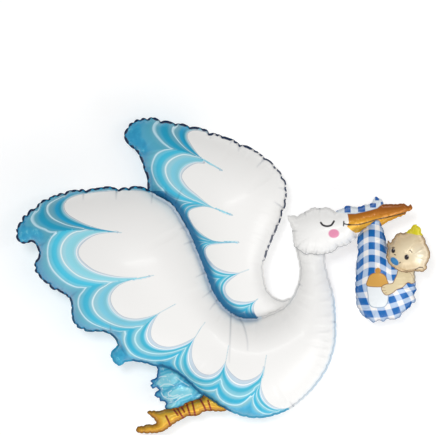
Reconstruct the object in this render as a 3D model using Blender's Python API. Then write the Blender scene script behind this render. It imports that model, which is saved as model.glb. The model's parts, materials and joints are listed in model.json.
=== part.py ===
"""Stork foil balloon, lying on its back as it lies when loose.

Seven sealed foil chambers, each one solid. Every chamber is a flat outline
blown up about its seam: a narrow flat rim runs all round the seam, and the
foil rises from it towards the middle, on the front and on the back alike.
Outlines are drawn on a sheet, x to the right and y down, whose unit is
LENGTH / SHEET_LENGTH. A third value of 1 marks a crease in an outline,
where it turns sharply.
"""

import math

import bmesh
import bpy
import numpy as np
from mathutils.geometry import delaunay_2d_cdt

# Overall size, in metres
LENGTH = 1.16
# How full each chamber is blown: 1 gives a disc half as thick as it is wide
BODY_FULLNESS = 1.02
WING_FULLNESS = 0.95
TAIL_FULLNESS = 0.95
LEG_FULLNESS = 1.3
HEAD_FULLNESS = 1.25
BUNDLE_FULLNESS = 1.15
BABY_FULLNESS = 1.3
# Welded seam, in metres
RIM_WIDTH = 0.005
RIM_THICKNESS = 0.0012
# Clearance left between two chambers that press on each other, in metres
PRESS_GAP = 0.0004
# Depth that a chamber is flattened where it lies on the floor, in metres
REST_FLAT = 0.0022
# Share of its own half thickness that a chamber is pressed in by the one behind
HEAD_PRESS_RATIO = 0.5
BUNDLE_PRESS_RATIO = 0.45
BABY_PRESS_RATIO = 0.4
LEG_PRESS_RATIO = 0.35
TAIL_PRESS_RATIO = 0.5
# Share of the clearance that a pressing shape is grown by, to be sure of it
PRESS_SPARE_RATIO = 1.2
# Slope of the bundle, whose foot stands a little lower than its top
BUNDLE_LEAN = 0.12

# Drawing sheet of the outlines
SHEET_LENGTH = 414.0
SHEET_CENTRE = (223.0, 275.0)
UNIT = LENGTH / SHEET_LENGTH

# Spacing of the points along a seam, in sheet units
BODY_STEP = 6.8
WING_STEP = 6.6
TAIL_STEP = 4.4
LEG_STEP = 4.2
HEAD_STEP = 4.6
BUNDLE_STEP = 5.0
BABY_STEP = 4.0
# Points of the smooth curve between two points of an outline
CURVE_POINTS = 8
# Share of its depth that a ring keeps from every side of the seam
RING_KEPT_RATIO = 0.86
# The ring beyond the rim, the points of the open foil and their margin, in steps along the seam
SECOND_RING_RATIO = 0.55
OPEN_SPACING_RATIO = 1.55
OPEN_MARGIN_RATIO = 1.25
# Share of the rim's width within which the foil stays flat
RIM_HELD_RATIO = 1.02

# Printed colour, metallic share and roughness of each foil
BODY_FOIL = ((0.8, 0.8, 0.8), 0.1, 0.25)
WING_FOIL = ((0.55, 0.75, 0.82), 0.1, 0.25)
TAIL_FOIL = ((0.2, 0.6, 0.75), 0.3, 0.3)
GOLD_FOIL = ((0.8, 0.4, 0.03), 0.6, 0.25)
HEAD_FOIL = ((0.82, 0.82, 0.82), 0.1, 0.25)
BUNDLE_FOIL = ((0.35, 0.6, 0.85), 0.1, 0.3)
BABY_FOIL = ((0.7, 0.55, 0.36), 0.2, 0.3)

# Points where chambers touch the floor or each other, on the sheet
BODY_REST_LEFT = (140.0, 280.0)
BODY_REST_RIGHT = (285.0, 360.0)
WING_REST = (220.0, 185.0)
NECK_END = (311.0, 243.0)
BEAK_TIE = (376.0, 226.0)
BABY_NECK = (398.0, 262.0)
LEG_TOP = (196.0, 405.0)

BODY_OUTLINE = [
    (16.1, 229.3), (17.2, 228.6, 1), (18.0, 225.4), (19.6, 222.4), (22.3, 221.3, 1),
    (22.4, 217.7), (24.2, 215.2), (26.9, 215.2, 1), (28.6, 211.4), (30.9, 209.1),
    (34.4, 208.8), (36.2, 207.0, 1), (38.2, 203.9), (40.4, 202.0, 1), (43.3, 199.6),
    (48.2, 199.2, 1), (50.6, 196.6), (54.4, 195.0), (57.1, 194.9, 1), (60.0, 193.0),
    (64.5, 193.2, 1), (67.5, 191.0), (74.0, 189.6), (79.1, 190.0, 1), (82.0, 188.8),
    (86.0, 190.4, 1), (92.1, 188.3), (99.8, 187.4), (106.0, 186.2), (113.0, 186.8),
    (118.6, 189.3, 1), (123.6, 187.2), (128.5, 187.8, 1), (133.0, 186.0), (141.0, 186.3),
    (148.0, 189.0), (152.6, 192.6, 1), (159.5, 196.8), (165.6, 200.0), (171.7, 204.0),
    (176.8, 210.2), (183.0, 221.0), (188.4, 230.2), (192.9, 239.6), (197.3, 250.4),
    (201.8, 261.6), (205.4, 270.3), (208.0, 278.4), (211.6, 287.5), (217.0, 297.0),
    (221.4, 303.4), (226.4, 308.8), (233.0, 313.6), (239.3, 317.0), (247.0, 318.4),
    (257.0, 317.6), (270.0, 313.4), (283.0, 306.8), (291.0, 298.0), (296.0, 288.0),
    (299.0, 277.0), (299.2, 267.0), (296.8, 255.0), (295.0, 246.0), (296.0, 238.5),
    (301.5, 233.5), (311.0, 231.6), (320.5, 234.0), (324.8, 240.0), (326.0, 249.0),
    (325.6, 257.4), (326.0, 264.0), (327.6, 271.0), (330.0, 280.0), (333.3, 291.0),
    (335.4, 303.0), (336.2, 316.0), (336.6, 330.0), (336.0, 342.0), (333.0, 355.0),
    (328.0, 368.0), (320.0, 381.0), (309.0, 394.0), (296.0, 405.5), (283.0, 412.8),
    (267.0, 417.6), (254.0, 418.4), (242.0, 416.4), (231.0, 412.4), (224.4, 408.6),
    (218.0, 405.4), (212.0, 401.0), (205.4, 396.4), (200.0, 393.4), (196.0, 390.0),
    (190.0, 384.0), (184.0, 378.4), (178.0, 373.8), (170.0, 369.4), (163.0, 366.8),
    (155.8, 366.6), (148.7, 364.5), (140.3, 362.5), (131.0, 361.4), (125.7, 362.4),
    (121.8, 364.9), (118.0, 365.7), (113.2, 361.4), (110.4, 355.4), (111.8, 350.8),
    (115.4, 347.4), (117.2, 344.6, 1), (116.0, 340.6), (112.8, 336.6), (107.6, 333.4),
    (101.0, 331.8), (92.6, 332.0), (85.6, 331.4), (83.4, 329.6, 1), (80.4, 328.8),
    (77.2, 327.4), (76.4, 325.0, 1), (73.6, 322.6), (71.8, 317.5), (71.2, 309.0),
    (71.0, 303.0), (69.2, 298.4, 1), (64.5, 294.6), (60.3, 292.4), (56.8, 290.2, 1),
    (53.4, 289.8), (49.8, 286.8), (49.0, 284.4, 1), (46.0, 283.2), (40.6, 278.4),
    (37.9, 274.0, 1), (35.0, 271.4), (35.6, 267.6, 1), (34.2, 264.4), (35.6, 260.8),
    (38.2, 257.4), (38.8, 252.6, 1), (37.2, 247.6), (34.8, 243.8), (31.6, 241.9),
    (27.7, 243.4), (22.3, 243.6), (18.0, 240.6), (16.2, 236.8), (17.3, 233.4, 1),
]

FAR_WING_OUTLINE = [
    (123.8, 136.4), (124.6, 131.4), (127.8, 127.0, 1), (129.6, 123.4), (133.4, 122.0, 1),
    (136.0, 119.4), (139.9, 119.2, 1), (143.0, 117.7), (147.0, 118.6, 1), (151.4, 117.0),
    (155.8, 117.6), (160.8, 121.0, 1), (166.0, 120.4), (171.0, 121.6), (175.4, 123.6, 1),
    (182.5, 123.2), (190.0, 126.6, 1), (196.0, 126.6), (202.0, 128.0), (206.8, 129.6),
    (209.4, 133.0, 1), (215.0, 133.0), (222.6, 135.6, 1), (229.0, 137.8), (234.6, 140.0),
    (240.2, 144.6, 1), (247.0, 145.4), (255.6, 150.2, 1), (261.0, 153.6), (265.2, 157.6, 1),
    (271.0, 161.2), (275.6, 166.6, 1), (280.4, 171.6), (283.0, 177.4, 1), (286.0, 182.2),
    (286.4, 188.6, 1), (287.4, 194.6), (285.8, 200.8, 1), (285.6, 206.4), (282.6, 211.6, 1),
    (281.6, 218.0), (278.8, 225.4), (272.4, 240.0), (267.8, 252.0), (264.9, 261.0),
    (263.8, 267.4), (264.6, 277.0), (266.6, 286.5), (270.6, 293.3), (277.0, 298.2),
    (284.0, 299.6), (289.6, 297.4), (292.6, 300.4), (286.0, 310.0), (271.0, 318.0),
    (257.0, 322.4), (244.0, 323.4), (230.0, 318.4), (219.6, 309.0), (209.0, 293.6),
    (202.0, 275.6), (190.6, 246.0), (179.4, 223.0), (168.0, 207.4), (157.0, 200.0),
    (148.6, 194.0), (147.2, 187.0), (147.0, 180.0), (145.9, 174.6), (143.6, 170.4, 1),
    (142.6, 165.0), (140.8, 160.4), (138.6, 155.4, 1), (136.2, 151.6), (132.5, 148.4),
    (128.6, 145.2, 1), (125.4, 141.2),
]

TAIL_OUTLINE = [
    (150.6, 357.0), (156.6, 367.4), (156.6, 374.4), (154.8, 378.6), (151.4, 379.2),
    (150.4, 381.2), (151.8, 383.4, 1), (150.2, 386.0), (152.4, 388.8), (156.0, 388.0),
    (158.6, 389.9, 1), (154.6, 393.2), (154.4, 396.0), (156.6, 397.8), (158.8, 398.6, 1),
    (160.4, 401.6), (164.6, 401.8), (165.4, 404.0, 1), (164.8, 407.6), (168.0, 411.4),
    (176.0, 411.4), (184.0, 408.4), (192.0, 404.6), (200.0, 400.6), (206.0, 394.6),
    (200.0, 387.0), (192.0, 379.0), (184.0, 371.6), (175.0, 365.0), (163.0, 359.4),
]

LEG_OUTLINE = [
    (147.2, 413.0), (148.6, 410.6), (154.0, 410.4), (159.4, 411.0), (163.4, 409.2),
    (169.5, 408.8), (176.0, 407.5), (181.4, 406.0), (184.6, 403.6), (187.6, 402.0),
    (194.0, 400.0), (201.0, 398.0), (204.6, 393.6), (212.0, 394.4), (220.0, 399.6),
    (227.0, 403.4), (229.4, 407.6), (224.6, 411.4), (217.0, 411.8), (207.0, 411.4),
    (201.6, 413.4), (197.6, 416.0), (192.4, 416.4), (187.6, 416.5), (181.0, 420.2),
    (174.0, 424.2), (167.5, 429.2), (162.0, 432.0), (155.0, 433.5), (143.4, 433.7),
    (138.2, 433.0), (135.7, 429.8), (138.0, 426.4), (143.4, 425.5), (147.4, 424.2),
    (153.0, 424.4), (155.4, 422.6, 1), (154.0, 419.4), (150.8, 416.4),
]

HEAD_OUTLINE = [
    (287.2, 216.0), (290.4, 215.1), (294.8, 215.4), (297.2, 216.0), (300.4, 214.0),
    (304.5, 211.8), (307.6, 210.2), (311.8, 207.5), (315.7, 207.0), (319.6, 207.9),
    (324.0, 207.1), (328.4, 207.2), (332.0, 209.2), (335.2, 211.2, 1), (340.0, 209.2),
    (344.0, 207.4), (346.2, 205.2), (350.0, 205.8), (355.3, 206.5), (361.0, 206.0),
    (365.5, 204.2), (370.0, 203.6), (371.6, 201.6), (373.0, 198.8), (375.7, 196.5),
    (378.4, 197.8), (381.6, 199.4), (382.8, 201.6), (384.2, 203.7, 1), (391.0, 203.9),
    (398.7, 203.6), (403.3, 203.2), (406.3, 205.0), (408.4, 205.4), (410.6, 204.2),
    (412.3, 206.6), (411.8, 209.6), (409.0, 211.4), (406.4, 212.2), (405.2, 214.4),
    (402.4, 216.1), (398.0, 217.6), (391.0, 220.5), (385.4, 223.2), (381.0, 226.4),
    (374.0, 228.0), (366.6, 229.2), (362.0, 231.2), (356.6, 233.2, 1), (356.6, 237.0),
    (355.2, 240.2), (352.0, 241.8), (348.6, 244.6), (343.3, 246.6), (338.0, 247.8),
    (334.8, 251.0), (329.4, 253.6), (322.0, 254.8), (315.7, 255.1), (309.4, 253.8),
    (305.6, 254.9), (301.8, 252.4), (297.4, 249.4), (293.8, 246.0), (292.6, 240.0),
    (292.2, 234.4), (291.6, 229.6), (289.8, 224.0), (287.8, 219.4),
]

BUNDLE_OUTLINE = [
    (377.8, 219.6), (373.4, 221.6), (368.4, 225.2), (362.5, 229.7), (358.4, 234.0),
    (357.0, 240.0), (357.1, 246.4), (357.9, 252.0), (356.6, 259.0), (355.6, 267.0),
    (355.6, 277.0), (355.0, 286.0), (355.6, 296.0), (356.6, 305.4), (359.7, 311.6),
    (364.0, 317.0), (369.4, 320.0), (374.0, 323.0), (379.0, 320.4), (383.2, 322.0),
    (387.4, 319.2), (391.0, 319.9), (396.0, 319.4), (399.8, 317.4), (402.0, 314.0),
    (405.0, 311.0), (410.0, 307.4), (411.6, 303.9), (414.6, 302.8), (415.8, 300.0),
    (414.9, 296.4), (414.7, 293.0), (416.6, 289.6), (415.8, 285.0), (415.6, 279.0),
    (415.0, 272.0), (413.0, 264.0), (407.0, 258.6), (398.0, 256.4), (391.6, 252.6),
    (387.8, 247.0), (386.0, 240.0), (384.2, 232.4), (382.2, 226.6), (380.0, 222.0),
]

BABY_OUTLINE = [
    (385.8, 257.4), (386.6, 252.4), (387.2, 247.6), (386.6, 243.6), (387.8, 240.4),
    (390.2, 241.6, 1), (392.2, 239.2), (394.4, 236.2), (396.8, 233.6), (400.0, 232.3),
    (403.0, 232.9), (406.2, 231.6), (409.4, 228.8), (411.6, 226.6), (413.6, 224.3),
    (416.0, 224.2), (417.6, 226.2), (419.8, 226.6), (420.8, 229.4), (421.6, 233.2),
    (424.0, 236.8), (425.4, 240.8), (427.0, 245.4), (429.4, 250.0), (430.0, 255.2),
    (429.0, 260.0), (426.8, 263.6), (426.8, 267.8), (424.8, 270.8), (421.0, 272.0),
    (414.0, 271.4), (407.6, 272.6), (402.0, 272.0), (395.0, 269.0), (389.2, 264.4),
]


def curve_through(outline):
    """Dense smooth curve through an outline, with its creases kept sharp, and the crease positions."""
    points = np.array([p[:2] for p in outline], float)
    crease = [len(p) > 2 for p in outline]
    count = len(points)
    dense, marks = [], []
    for i in range(count):
        before, start, end, after = (points[(i + k) % count] for k in (-1, 0, 1, 2))
        if crease[i]:
            before = 2 * start - end
            marks.append(len(dense))
        if crease[(i + 1) % count]:
            after = 2 * end - start
        for k in range(CURVE_POINTS):
            t = k / CURVE_POINTS
            dense.append(
                0.5 * (2 * start + (end - before) * t
                       + (2 * before - 5 * start + 4 * end - after) * t * t
                       + (3 * start - before - 3 * end + after) * t ** 3))
    return np.array(dense), marks


def evenly(outline, step):
    """Points about a step apart round the smooth outline, one on each crease."""
    dense, marks = curve_through(outline)
    count = len(dense)
    if not marks:
        marks = [0]
    result = []
    for a, b in zip(marks, marks[1:] + [marks[0] + count]):
        stretch = dense[[k % count for k in range(a, b + 1)]]
        along = np.concatenate([[0], np.cumsum(np.linalg.norm(np.diff(stretch, axis=0), axis=1))])
        parts = max(1, round(along[-1] / step))
        at = np.linspace(0, along[-1], parts + 1)[:-1]
        result.extend(zip(np.interp(at, along, stretch[:, 0]), np.interp(at, along, stretch[:, 1])))
    return np.array(result)


def distance_to(points, loop):
    """Distance of each point to a closed loop."""
    start, end = loop, np.roll(loop, -1, axis=0)
    side = end - start
    best = np.full(len(points), np.inf)
    for a, d in zip(start, side):
        t = np.clip(((points - a) @ d) / max(d @ d, 1e-12), 0, 1)
        best = np.minimum(best, np.hypot(*(points - a - t[:, None] * d).T))
    return best


def inside(points, loop):
    """Which points lie inside a closed loop."""
    result = np.zeros(len(points), bool)
    x, y = points.T
    for (ax, ay), (bx, by) in zip(loop, np.roll(loop, -1, axis=0)):
        if ay != by:
            crossing = (ay > y) != (by > y)
            result ^= crossing & (x < (bx - ax) * (y - ay) / (by - ay) + ax)
    return result


def ring_inside(loop, depth):
    """The loop moved inwards by a depth, without the points that would come nearer its far side."""
    along = np.roll(loop, -1, axis=0) - np.roll(loop, 1, axis=0)
    inwards = np.column_stack([-along[:, 1], along[:, 0]])
    inwards /= np.linalg.norm(inwards, axis=1)[:, None]
    ring = loop + inwards * depth
    near = distance_to(ring, loop)
    return ring[(near > RING_KEPT_RATIO * depth) & inside(ring, loop)]


def hexagonal(loop, spacing, margin):
    """Evenly packed points inside the loop, at least a margin from it."""
    low, high = loop.min(axis=0), loop.max(axis=0)
    rows = int((high[1] - low[1]) / (spacing * math.sqrt(0.75))) + 2
    columns = int((high[0] - low[0]) / spacing) + 2
    points = np.array([
        (low[0] + (c + 0.5 * (r % 2)) * spacing, low[1] + r * spacing * math.sqrt(0.75))
        for r in range(rows) for c in range(columns)])
    points = points[inside(points, loop)]
    return points[distance_to(points, loop) > margin]


def flat_mesh(outline, step):
    """Triangles over the outline in metres: seam edge, rim, a ring beyond it, then open foil."""
    loop = evenly(outline, step)
    loop = np.column_stack([loop[:, 0] - SHEET_CENTRE[0], SHEET_CENTRE[1] - loop[:, 1]]) * UNIT
    turn = np.roll(loop, -1, axis=0)
    if (loop[:, 0] * turn[:, 1] - turn[:, 0] * loop[:, 1]).sum() < 0:
        loop = loop[::-1]
    spacing = step * UNIT
    rim = ring_inside(loop, RIM_WIDTH)
    second = ring_inside(loop, RIM_WIDTH + SECOND_RING_RATIO * spacing)
    open_foil = hexagonal(loop, OPEN_SPACING_RATIO * spacing, RIM_WIDTH + OPEN_MARGIN_RATIO * spacing)
    points, edges = [], []
    for ring in (loop, rim):
        first = len(points)
        points.extend(ring)
        edges.extend((first + k, first + (k + 1) % len(ring)) for k in range(len(ring)))
    points.extend(second)
    points.extend(open_foil)
    flat, _, faces = delaunay_2d_cdt([tuple(p) for p in points], edges, [], 1, 1e-7)[:3]
    flat = np.array([tuple(p) for p in flat])
    faces = np.array([tuple(f) for f in faces])
    centre = flat[faces].mean(axis=1)
    faces = faces[inside(centre, loop)]
    return flat, faces, loop


def blown_up(flat, faces, loop, fullness):
    """Half thickness at each point: the square root of a membrane's rise, half round across a tube."""
    away = distance_to(flat, loop)
    fixed = away < RIM_WIDTH * RIM_HELD_RATIO
    free = np.flatnonzero(~fixed)
    where = np.full(len(flat), -1)
    where[free] = np.arange(len(free))
    stiff = np.zeros((len(free), len(free)))
    load = np.zeros(len(free))
    for face in faces:
        for k in range(3):
            i, j, o = face[k], face[(k + 1) % 3], face[(k + 2) % 3]
            a, b = flat[i] - flat[o], flat[j] - flat[o]
            area = abs(a[0] * b[1] - a[1] * b[0])
            weight = 0.5 * (a @ b) / max(area, 1e-12)
            p, q = where[i], where[j]
            if p >= 0:
                stiff[p, p] += weight
                load[p] += area / 6
            if q >= 0:
                stiff[q, q] += weight
            if p >= 0 and q >= 0:
                stiff[p, q] -= weight
                stiff[q, p] -= weight
    rise = np.zeros(len(flat))
    rise[free] = np.linalg.solve(stiff, load)
    return fullness * np.sqrt(np.maximum(rise, 0))


def on_sheet(point):
    """A point of the sheet in metres."""
    return np.array([(point[0] - SHEET_CENTRE[0]) * UNIT, (SHEET_CENTRE[1] - point[1]) * UNIT])


class Chamber:
    """One foil chamber: its triangles, half thickness and the height of its seam."""

    def __init__(self, outline, step, fullness):
        self.flat, self.faces, self.loop = flat_mesh(outline, step)
        self.half = blown_up(self.flat, self.faces, self.loop, fullness)
        self.seam = (0.0, 0.0, 0.0)

    def half_at(self, point):
        near = np.argsort(np.hypot(*(self.flat - on_sheet(point)).T))[:3]
        return self.half[near].mean()

    def seam_at(self, point):
        x, y = on_sheet(point)
        return self.seam[0] + self.seam[1] * x + self.seam[2] * y

    def front_at(self, point):
        return self.seam_at(point) + self.half_at(point)

    def lay(self, point, height, lean=(0.0, 0.0)):
        """Puts the seam at a height over the point, leaning by the given slopes."""
        x, y = on_sheet(point)
        self.seam = (height - lean[0] * x - lean[1] * y, lean[0], lean[1])

    def solid(self, name, colour, metallic, roughness):
        """The closed solid, cut flat where it lies on the floor."""
        count = len(self.flat)
        seam = self.seam[0] + self.flat @ np.array(self.seam[1:])
        reach = self.half + RIM_THICKNESS / 2
        front = np.column_stack([self.flat, seam + reach])
        back = np.column_stack([self.flat, seam - reach])
        sides = {}
        for face in self.faces:
            for k in range(3):
                sides[(face[k], face[(k + 1) % 3])] = True
        rim = [(a, b) for a, b in sides if (b, a) not in sides]
        faces = [tuple(f) for f in self.faces]
        faces += [(f[2] + count, f[1] + count, f[0] + count) for f in self.faces]
        faces += [(b, a, a + count, b + count) for a, b in rim]
        mesh = bpy.data.meshes.new(name)
        mesh.from_pydata(np.vstack([front, back]).tolist(), [], [[int(v) for v in f] for f in faces])
        form = bmesh.new()
        form.from_mesh(mesh)
        bmesh.ops.bisect_plane(
            form, geom=form.verts[:] + form.edges[:] + form.faces[:], dist=1e-6,
            plane_co=(0, 0, 0), plane_no=(0, 0, -1), clear_outer=True)
        opened = [e for e in form.edges if e.is_boundary]
        if opened:
            bmesh.ops.holes_fill(form, edges=opened, sides=0)
        bmesh.ops.recalc_face_normals(form, faces=form.faces[:])
        form.to_mesh(mesh)
        form.free()
        for face in mesh.polygons:
            face.use_smooth = len(face.vertices) == 3
        body = bpy.data.objects.new(name, mesh)
        bpy.context.scene.collection.objects.link(body)
        foil = bpy.data.materials.new(name + "_foil")
        foil.use_nodes = True
        shader = foil.node_tree.nodes["Principled BSDF"]
        shader.inputs["Base Color"].default_value = (*colour, 1)
        shader.inputs["Metallic"].default_value = metallic
        shader.inputs["Roughness"].default_value = roughness
        mesh.materials.append(foil)
        return body


def press(front_piece, piece_behind):
    """Dents a piece where the other one presses on it, leaving the clearance."""
    name = piece_behind.name + "_presses_" + front_piece.name
    tool = bpy.data.objects.new(name, piece_behind.data.copy())
    bpy.context.scene.collection.objects.link(tool)
    form = bmesh.new()
    form.from_mesh(tool.data)
    form.normal_update()
    for vertex, push in [(v, v.normal.copy()) for v in form.verts]:
        vertex.co += push * PRESS_GAP * PRESS_SPARE_RATIO
    form.to_mesh(tool.data)
    form.free()
    tool.hide_render = True
    tool.display_type = "WIRE"
    dent = front_piece.modifiers.new(name, "BOOLEAN")
    dent.operation = "DIFFERENCE"
    dent.solver = "EXACT"
    dent.object = tool


for old in list(bpy.data.objects):
    bpy.data.objects.remove(old, do_unlink=True)

body = Chamber(BODY_OUTLINE, BODY_STEP, BODY_FULLNESS)
wing = Chamber(FAR_WING_OUTLINE, WING_STEP, WING_FULLNESS)
tail = Chamber(TAIL_OUTLINE, TAIL_STEP, TAIL_FULLNESS)
leg = Chamber(LEG_OUTLINE, LEG_STEP, LEG_FULLNESS)
head = Chamber(HEAD_OUTLINE, HEAD_STEP, HEAD_FULLNESS)
bundle = Chamber(BUNDLE_OUTLINE, BUNDLE_STEP, BUNDLE_FULLNESS)
baby = Chamber(BABY_OUTLINE, BABY_STEP, BABY_FULLNESS)

# The body lies on its wing and its breast
left, right = on_sheet(BODY_REST_LEFT), on_sheet(BODY_REST_RIGHT)
fall = body.half_at(BODY_REST_LEFT) - body.half_at(BODY_REST_RIGHT)
lean = fall * (left - right) / ((left - right) @ (left - right))
body.lay(BODY_REST_LEFT, body.half_at(BODY_REST_LEFT) + RIM_THICKNESS / 2 - REST_FLAT, lean)
# The far wing lies on the floor beside it
wing.lay(WING_REST, wing.half_at(WING_REST) + RIM_THICKNESS / 2 - REST_FLAT)
# Each of the others lies on the chamber behind it, pressed in a little
tail.lay(LEG_TOP, body.seam_at(LEG_TOP) - TAIL_PRESS_RATIO * tail.half.max())
leg.lay(LEG_TOP, tail.front_at(LEG_TOP) + (1 - LEG_PRESS_RATIO) * leg.half_at(LEG_TOP))
head.lay(NECK_END, body.front_at(NECK_END) + (1 - HEAD_PRESS_RATIO) * head.half_at(NECK_END))
bundle.lay(BEAK_TIE, head.front_at(BEAK_TIE) + (1 - BUNDLE_PRESS_RATIO) * bundle.half_at(BEAK_TIE),
           (0.0, BUNDLE_LEAN))
baby.lay(BABY_NECK, bundle.front_at(BABY_NECK) + (1 - BABY_PRESS_RATIO) * baby.half_at(BABY_NECK))

solids = {
    "body_and_near_wing": body.solid("body_and_near_wing", *BODY_FOIL),
    "far_wing": wing.solid("far_wing", *WING_FOIL),
    "tail": tail.solid("tail", *TAIL_FOIL),
    "leg_and_foot": leg.solid("leg_and_foot", *GOLD_FOIL),
    "head_and_beak": head.solid("head_and_beak", *HEAD_FOIL),
    "bundle": bundle.solid("bundle", *BUNDLE_FOIL),
    "baby_head": baby.solid("baby_head", *BABY_FOIL),
}

# Neighbours that press on each other
press(solids["far_wing"], solids["body_and_near_wing"])
press(solids["tail"], solids["body_and_near_wing"])
press(solids["leg_and_foot"], solids["body_and_near_wing"])
press(solids["leg_and_foot"], solids["tail"])
press(solids["head_and_beak"], solids["body_and_near_wing"])
press(solids["bundle"], solids["head_and_beak"])
press(solids["baby_head"], solids["bundle"])
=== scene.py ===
"""Stork foil balloon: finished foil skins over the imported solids, in metres, +Z up.

Outlines and prints are drawn on a sheet, x to the right and y down. A third
value of 1 marks a crease in an outline, where it turns sharply.
"""

import json
import math

import bpy
import numpy as np
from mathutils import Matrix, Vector, kdtree
from mathutils.geometry import delaunay_2d_cdt

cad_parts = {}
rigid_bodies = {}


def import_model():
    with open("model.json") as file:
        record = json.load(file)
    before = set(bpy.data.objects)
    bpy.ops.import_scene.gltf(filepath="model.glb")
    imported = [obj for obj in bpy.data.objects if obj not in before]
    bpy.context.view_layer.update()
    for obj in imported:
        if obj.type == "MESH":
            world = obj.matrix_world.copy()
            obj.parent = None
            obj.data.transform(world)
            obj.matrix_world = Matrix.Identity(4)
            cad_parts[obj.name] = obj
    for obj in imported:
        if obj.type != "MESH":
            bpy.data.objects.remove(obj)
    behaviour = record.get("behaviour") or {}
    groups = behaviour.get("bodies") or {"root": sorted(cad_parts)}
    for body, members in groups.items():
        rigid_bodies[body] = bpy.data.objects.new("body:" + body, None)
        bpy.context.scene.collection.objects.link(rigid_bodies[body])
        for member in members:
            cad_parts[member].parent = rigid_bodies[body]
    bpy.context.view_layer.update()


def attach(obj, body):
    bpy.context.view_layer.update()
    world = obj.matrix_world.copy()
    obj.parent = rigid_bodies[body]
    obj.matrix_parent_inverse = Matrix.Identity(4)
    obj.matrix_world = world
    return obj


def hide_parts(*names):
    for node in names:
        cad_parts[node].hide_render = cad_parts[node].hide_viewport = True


for old in list(bpy.data.objects):
    bpy.data.objects.remove(old, do_unlink=True)
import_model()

LENGTH = 1.16
UNIT = LENGTH / 414.0
SHEET_CENTRE = np.array([223.0, 275.0])
# Welded seam and its scallops, in sheet units
RIM = 1.8
SCALLOP = 0.8
RIM_WAVE = 0.9
LONG_PUCKER_SHARE = 0.16
# Metres
RIM_THICKNESS = 0.0012
GAP = 0.0006
THINNEST = 0.0004

# Outlines of the chambers
BODY_OUTLINE = [
    (16.1, 229.3), (17.2, 228.6, 1), (18, 225.4), (19.6, 222.4), (22.3, 221.3, 1), (22.4, 217.7),
    (24.2, 215.2), (26.9, 215.2, 1), (28.6, 211.4), (30.9, 209.1), (34.4, 208.8), (36.2, 207, 1),
    (38.2, 203.9), (40.4, 202, 1), (43.3, 199.6), (48.2, 199.2, 1), (50.6, 196.6), (54.4, 195),
    (57.1, 194.9, 1), (60, 193), (64.5, 193.2, 1), (67.5, 191), (74, 189.6), (79.1, 190, 1), (82, 188.8),
    (86, 190.4, 1), (92.1, 188.3), (99.8, 187.4), (106, 186.2), (113, 186.8), (118.6, 189.3, 1),
    (123.6, 187.2), (128.5, 187.8, 1), (133, 186), (141, 186.3), (148, 189), (152.6, 192.6, 1),
    (159.5, 196.8), (165.6, 200), (171.7, 204), (176.8, 210.2), (183, 221), (188.4, 230.2),
    (192.9, 239.6), (197.3, 250.4), (201.8, 261.6), (205.4, 270.3), (208, 278.4), (211.6, 287.5),
    (217, 297), (221.4, 303.4), (226.4, 308.8), (233, 313.6), (239.3, 317), (247, 318.4), (257, 317.6),
    (270, 313.4), (283, 306.8), (291, 298), (296, 288), (299, 277), (299.2, 267), (296.8, 255),
    (295, 246), (296, 238.5), (301.5, 233.5), (311, 231.6), (320.5, 234), (324.8, 240), (326, 249),
    (325.6, 257.4), (326, 264), (327.6, 271), (330, 280), (333.3, 291), (335.4, 303), (336.2, 316),
    (336.6, 330), (336, 342), (333, 355), (328, 368), (320, 381), (309, 394), (296, 405.5), (283, 412.8),
    (267, 417.6), (254, 418.4), (242, 416.4), (231, 412.4), (224.4, 408.6), (218, 405.4), (212, 401),
    (205.4, 396.4), (200, 393.4), (196, 390), (190, 384), (184, 378.4), (178, 373.8), (170, 369.4),
    (163, 366.8), (155.8, 366.6), (148.7, 364.5), (140.3, 362.5), (131, 361.4), (125.7, 362.4),
    (121.8, 364.9), (118, 365.7), (113.2, 361.4), (110.4, 355.4), (111.8, 350.8), (115.4, 347.4),
    (117.2, 344.6, 1), (116, 340.6), (112.8, 336.6), (107.6, 333.4), (101, 331.8), (92.6, 332),
    (85.6, 331.4), (83.4, 329.6, 1), (80.4, 328.8), (77.2, 327.4), (76.4, 325, 1), (73.6, 322.6),
    (71.8, 317.5), (71.2, 309), (71, 303), (69.2, 298.4, 1), (64.5, 294.6), (60.3, 292.4),
    (56.8, 290.2, 1), (53.4, 289.8), (49.8, 286.8), (49, 284.4, 1), (46, 283.2), (40.6, 278.4),
    (37.9, 274, 1), (35, 271.4), (35.6, 267.6, 1), (34.2, 264.4), (35.6, 260.8), (38.2, 257.4),
    (38.8, 252.6, 1), (37.2, 247.6), (34.8, 243.8), (31.6, 241.9), (27.7, 243.4), (22.3, 243.6),
    (18, 240.6), (16.2, 236.8), (17.3, 233.4, 1),
]
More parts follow.
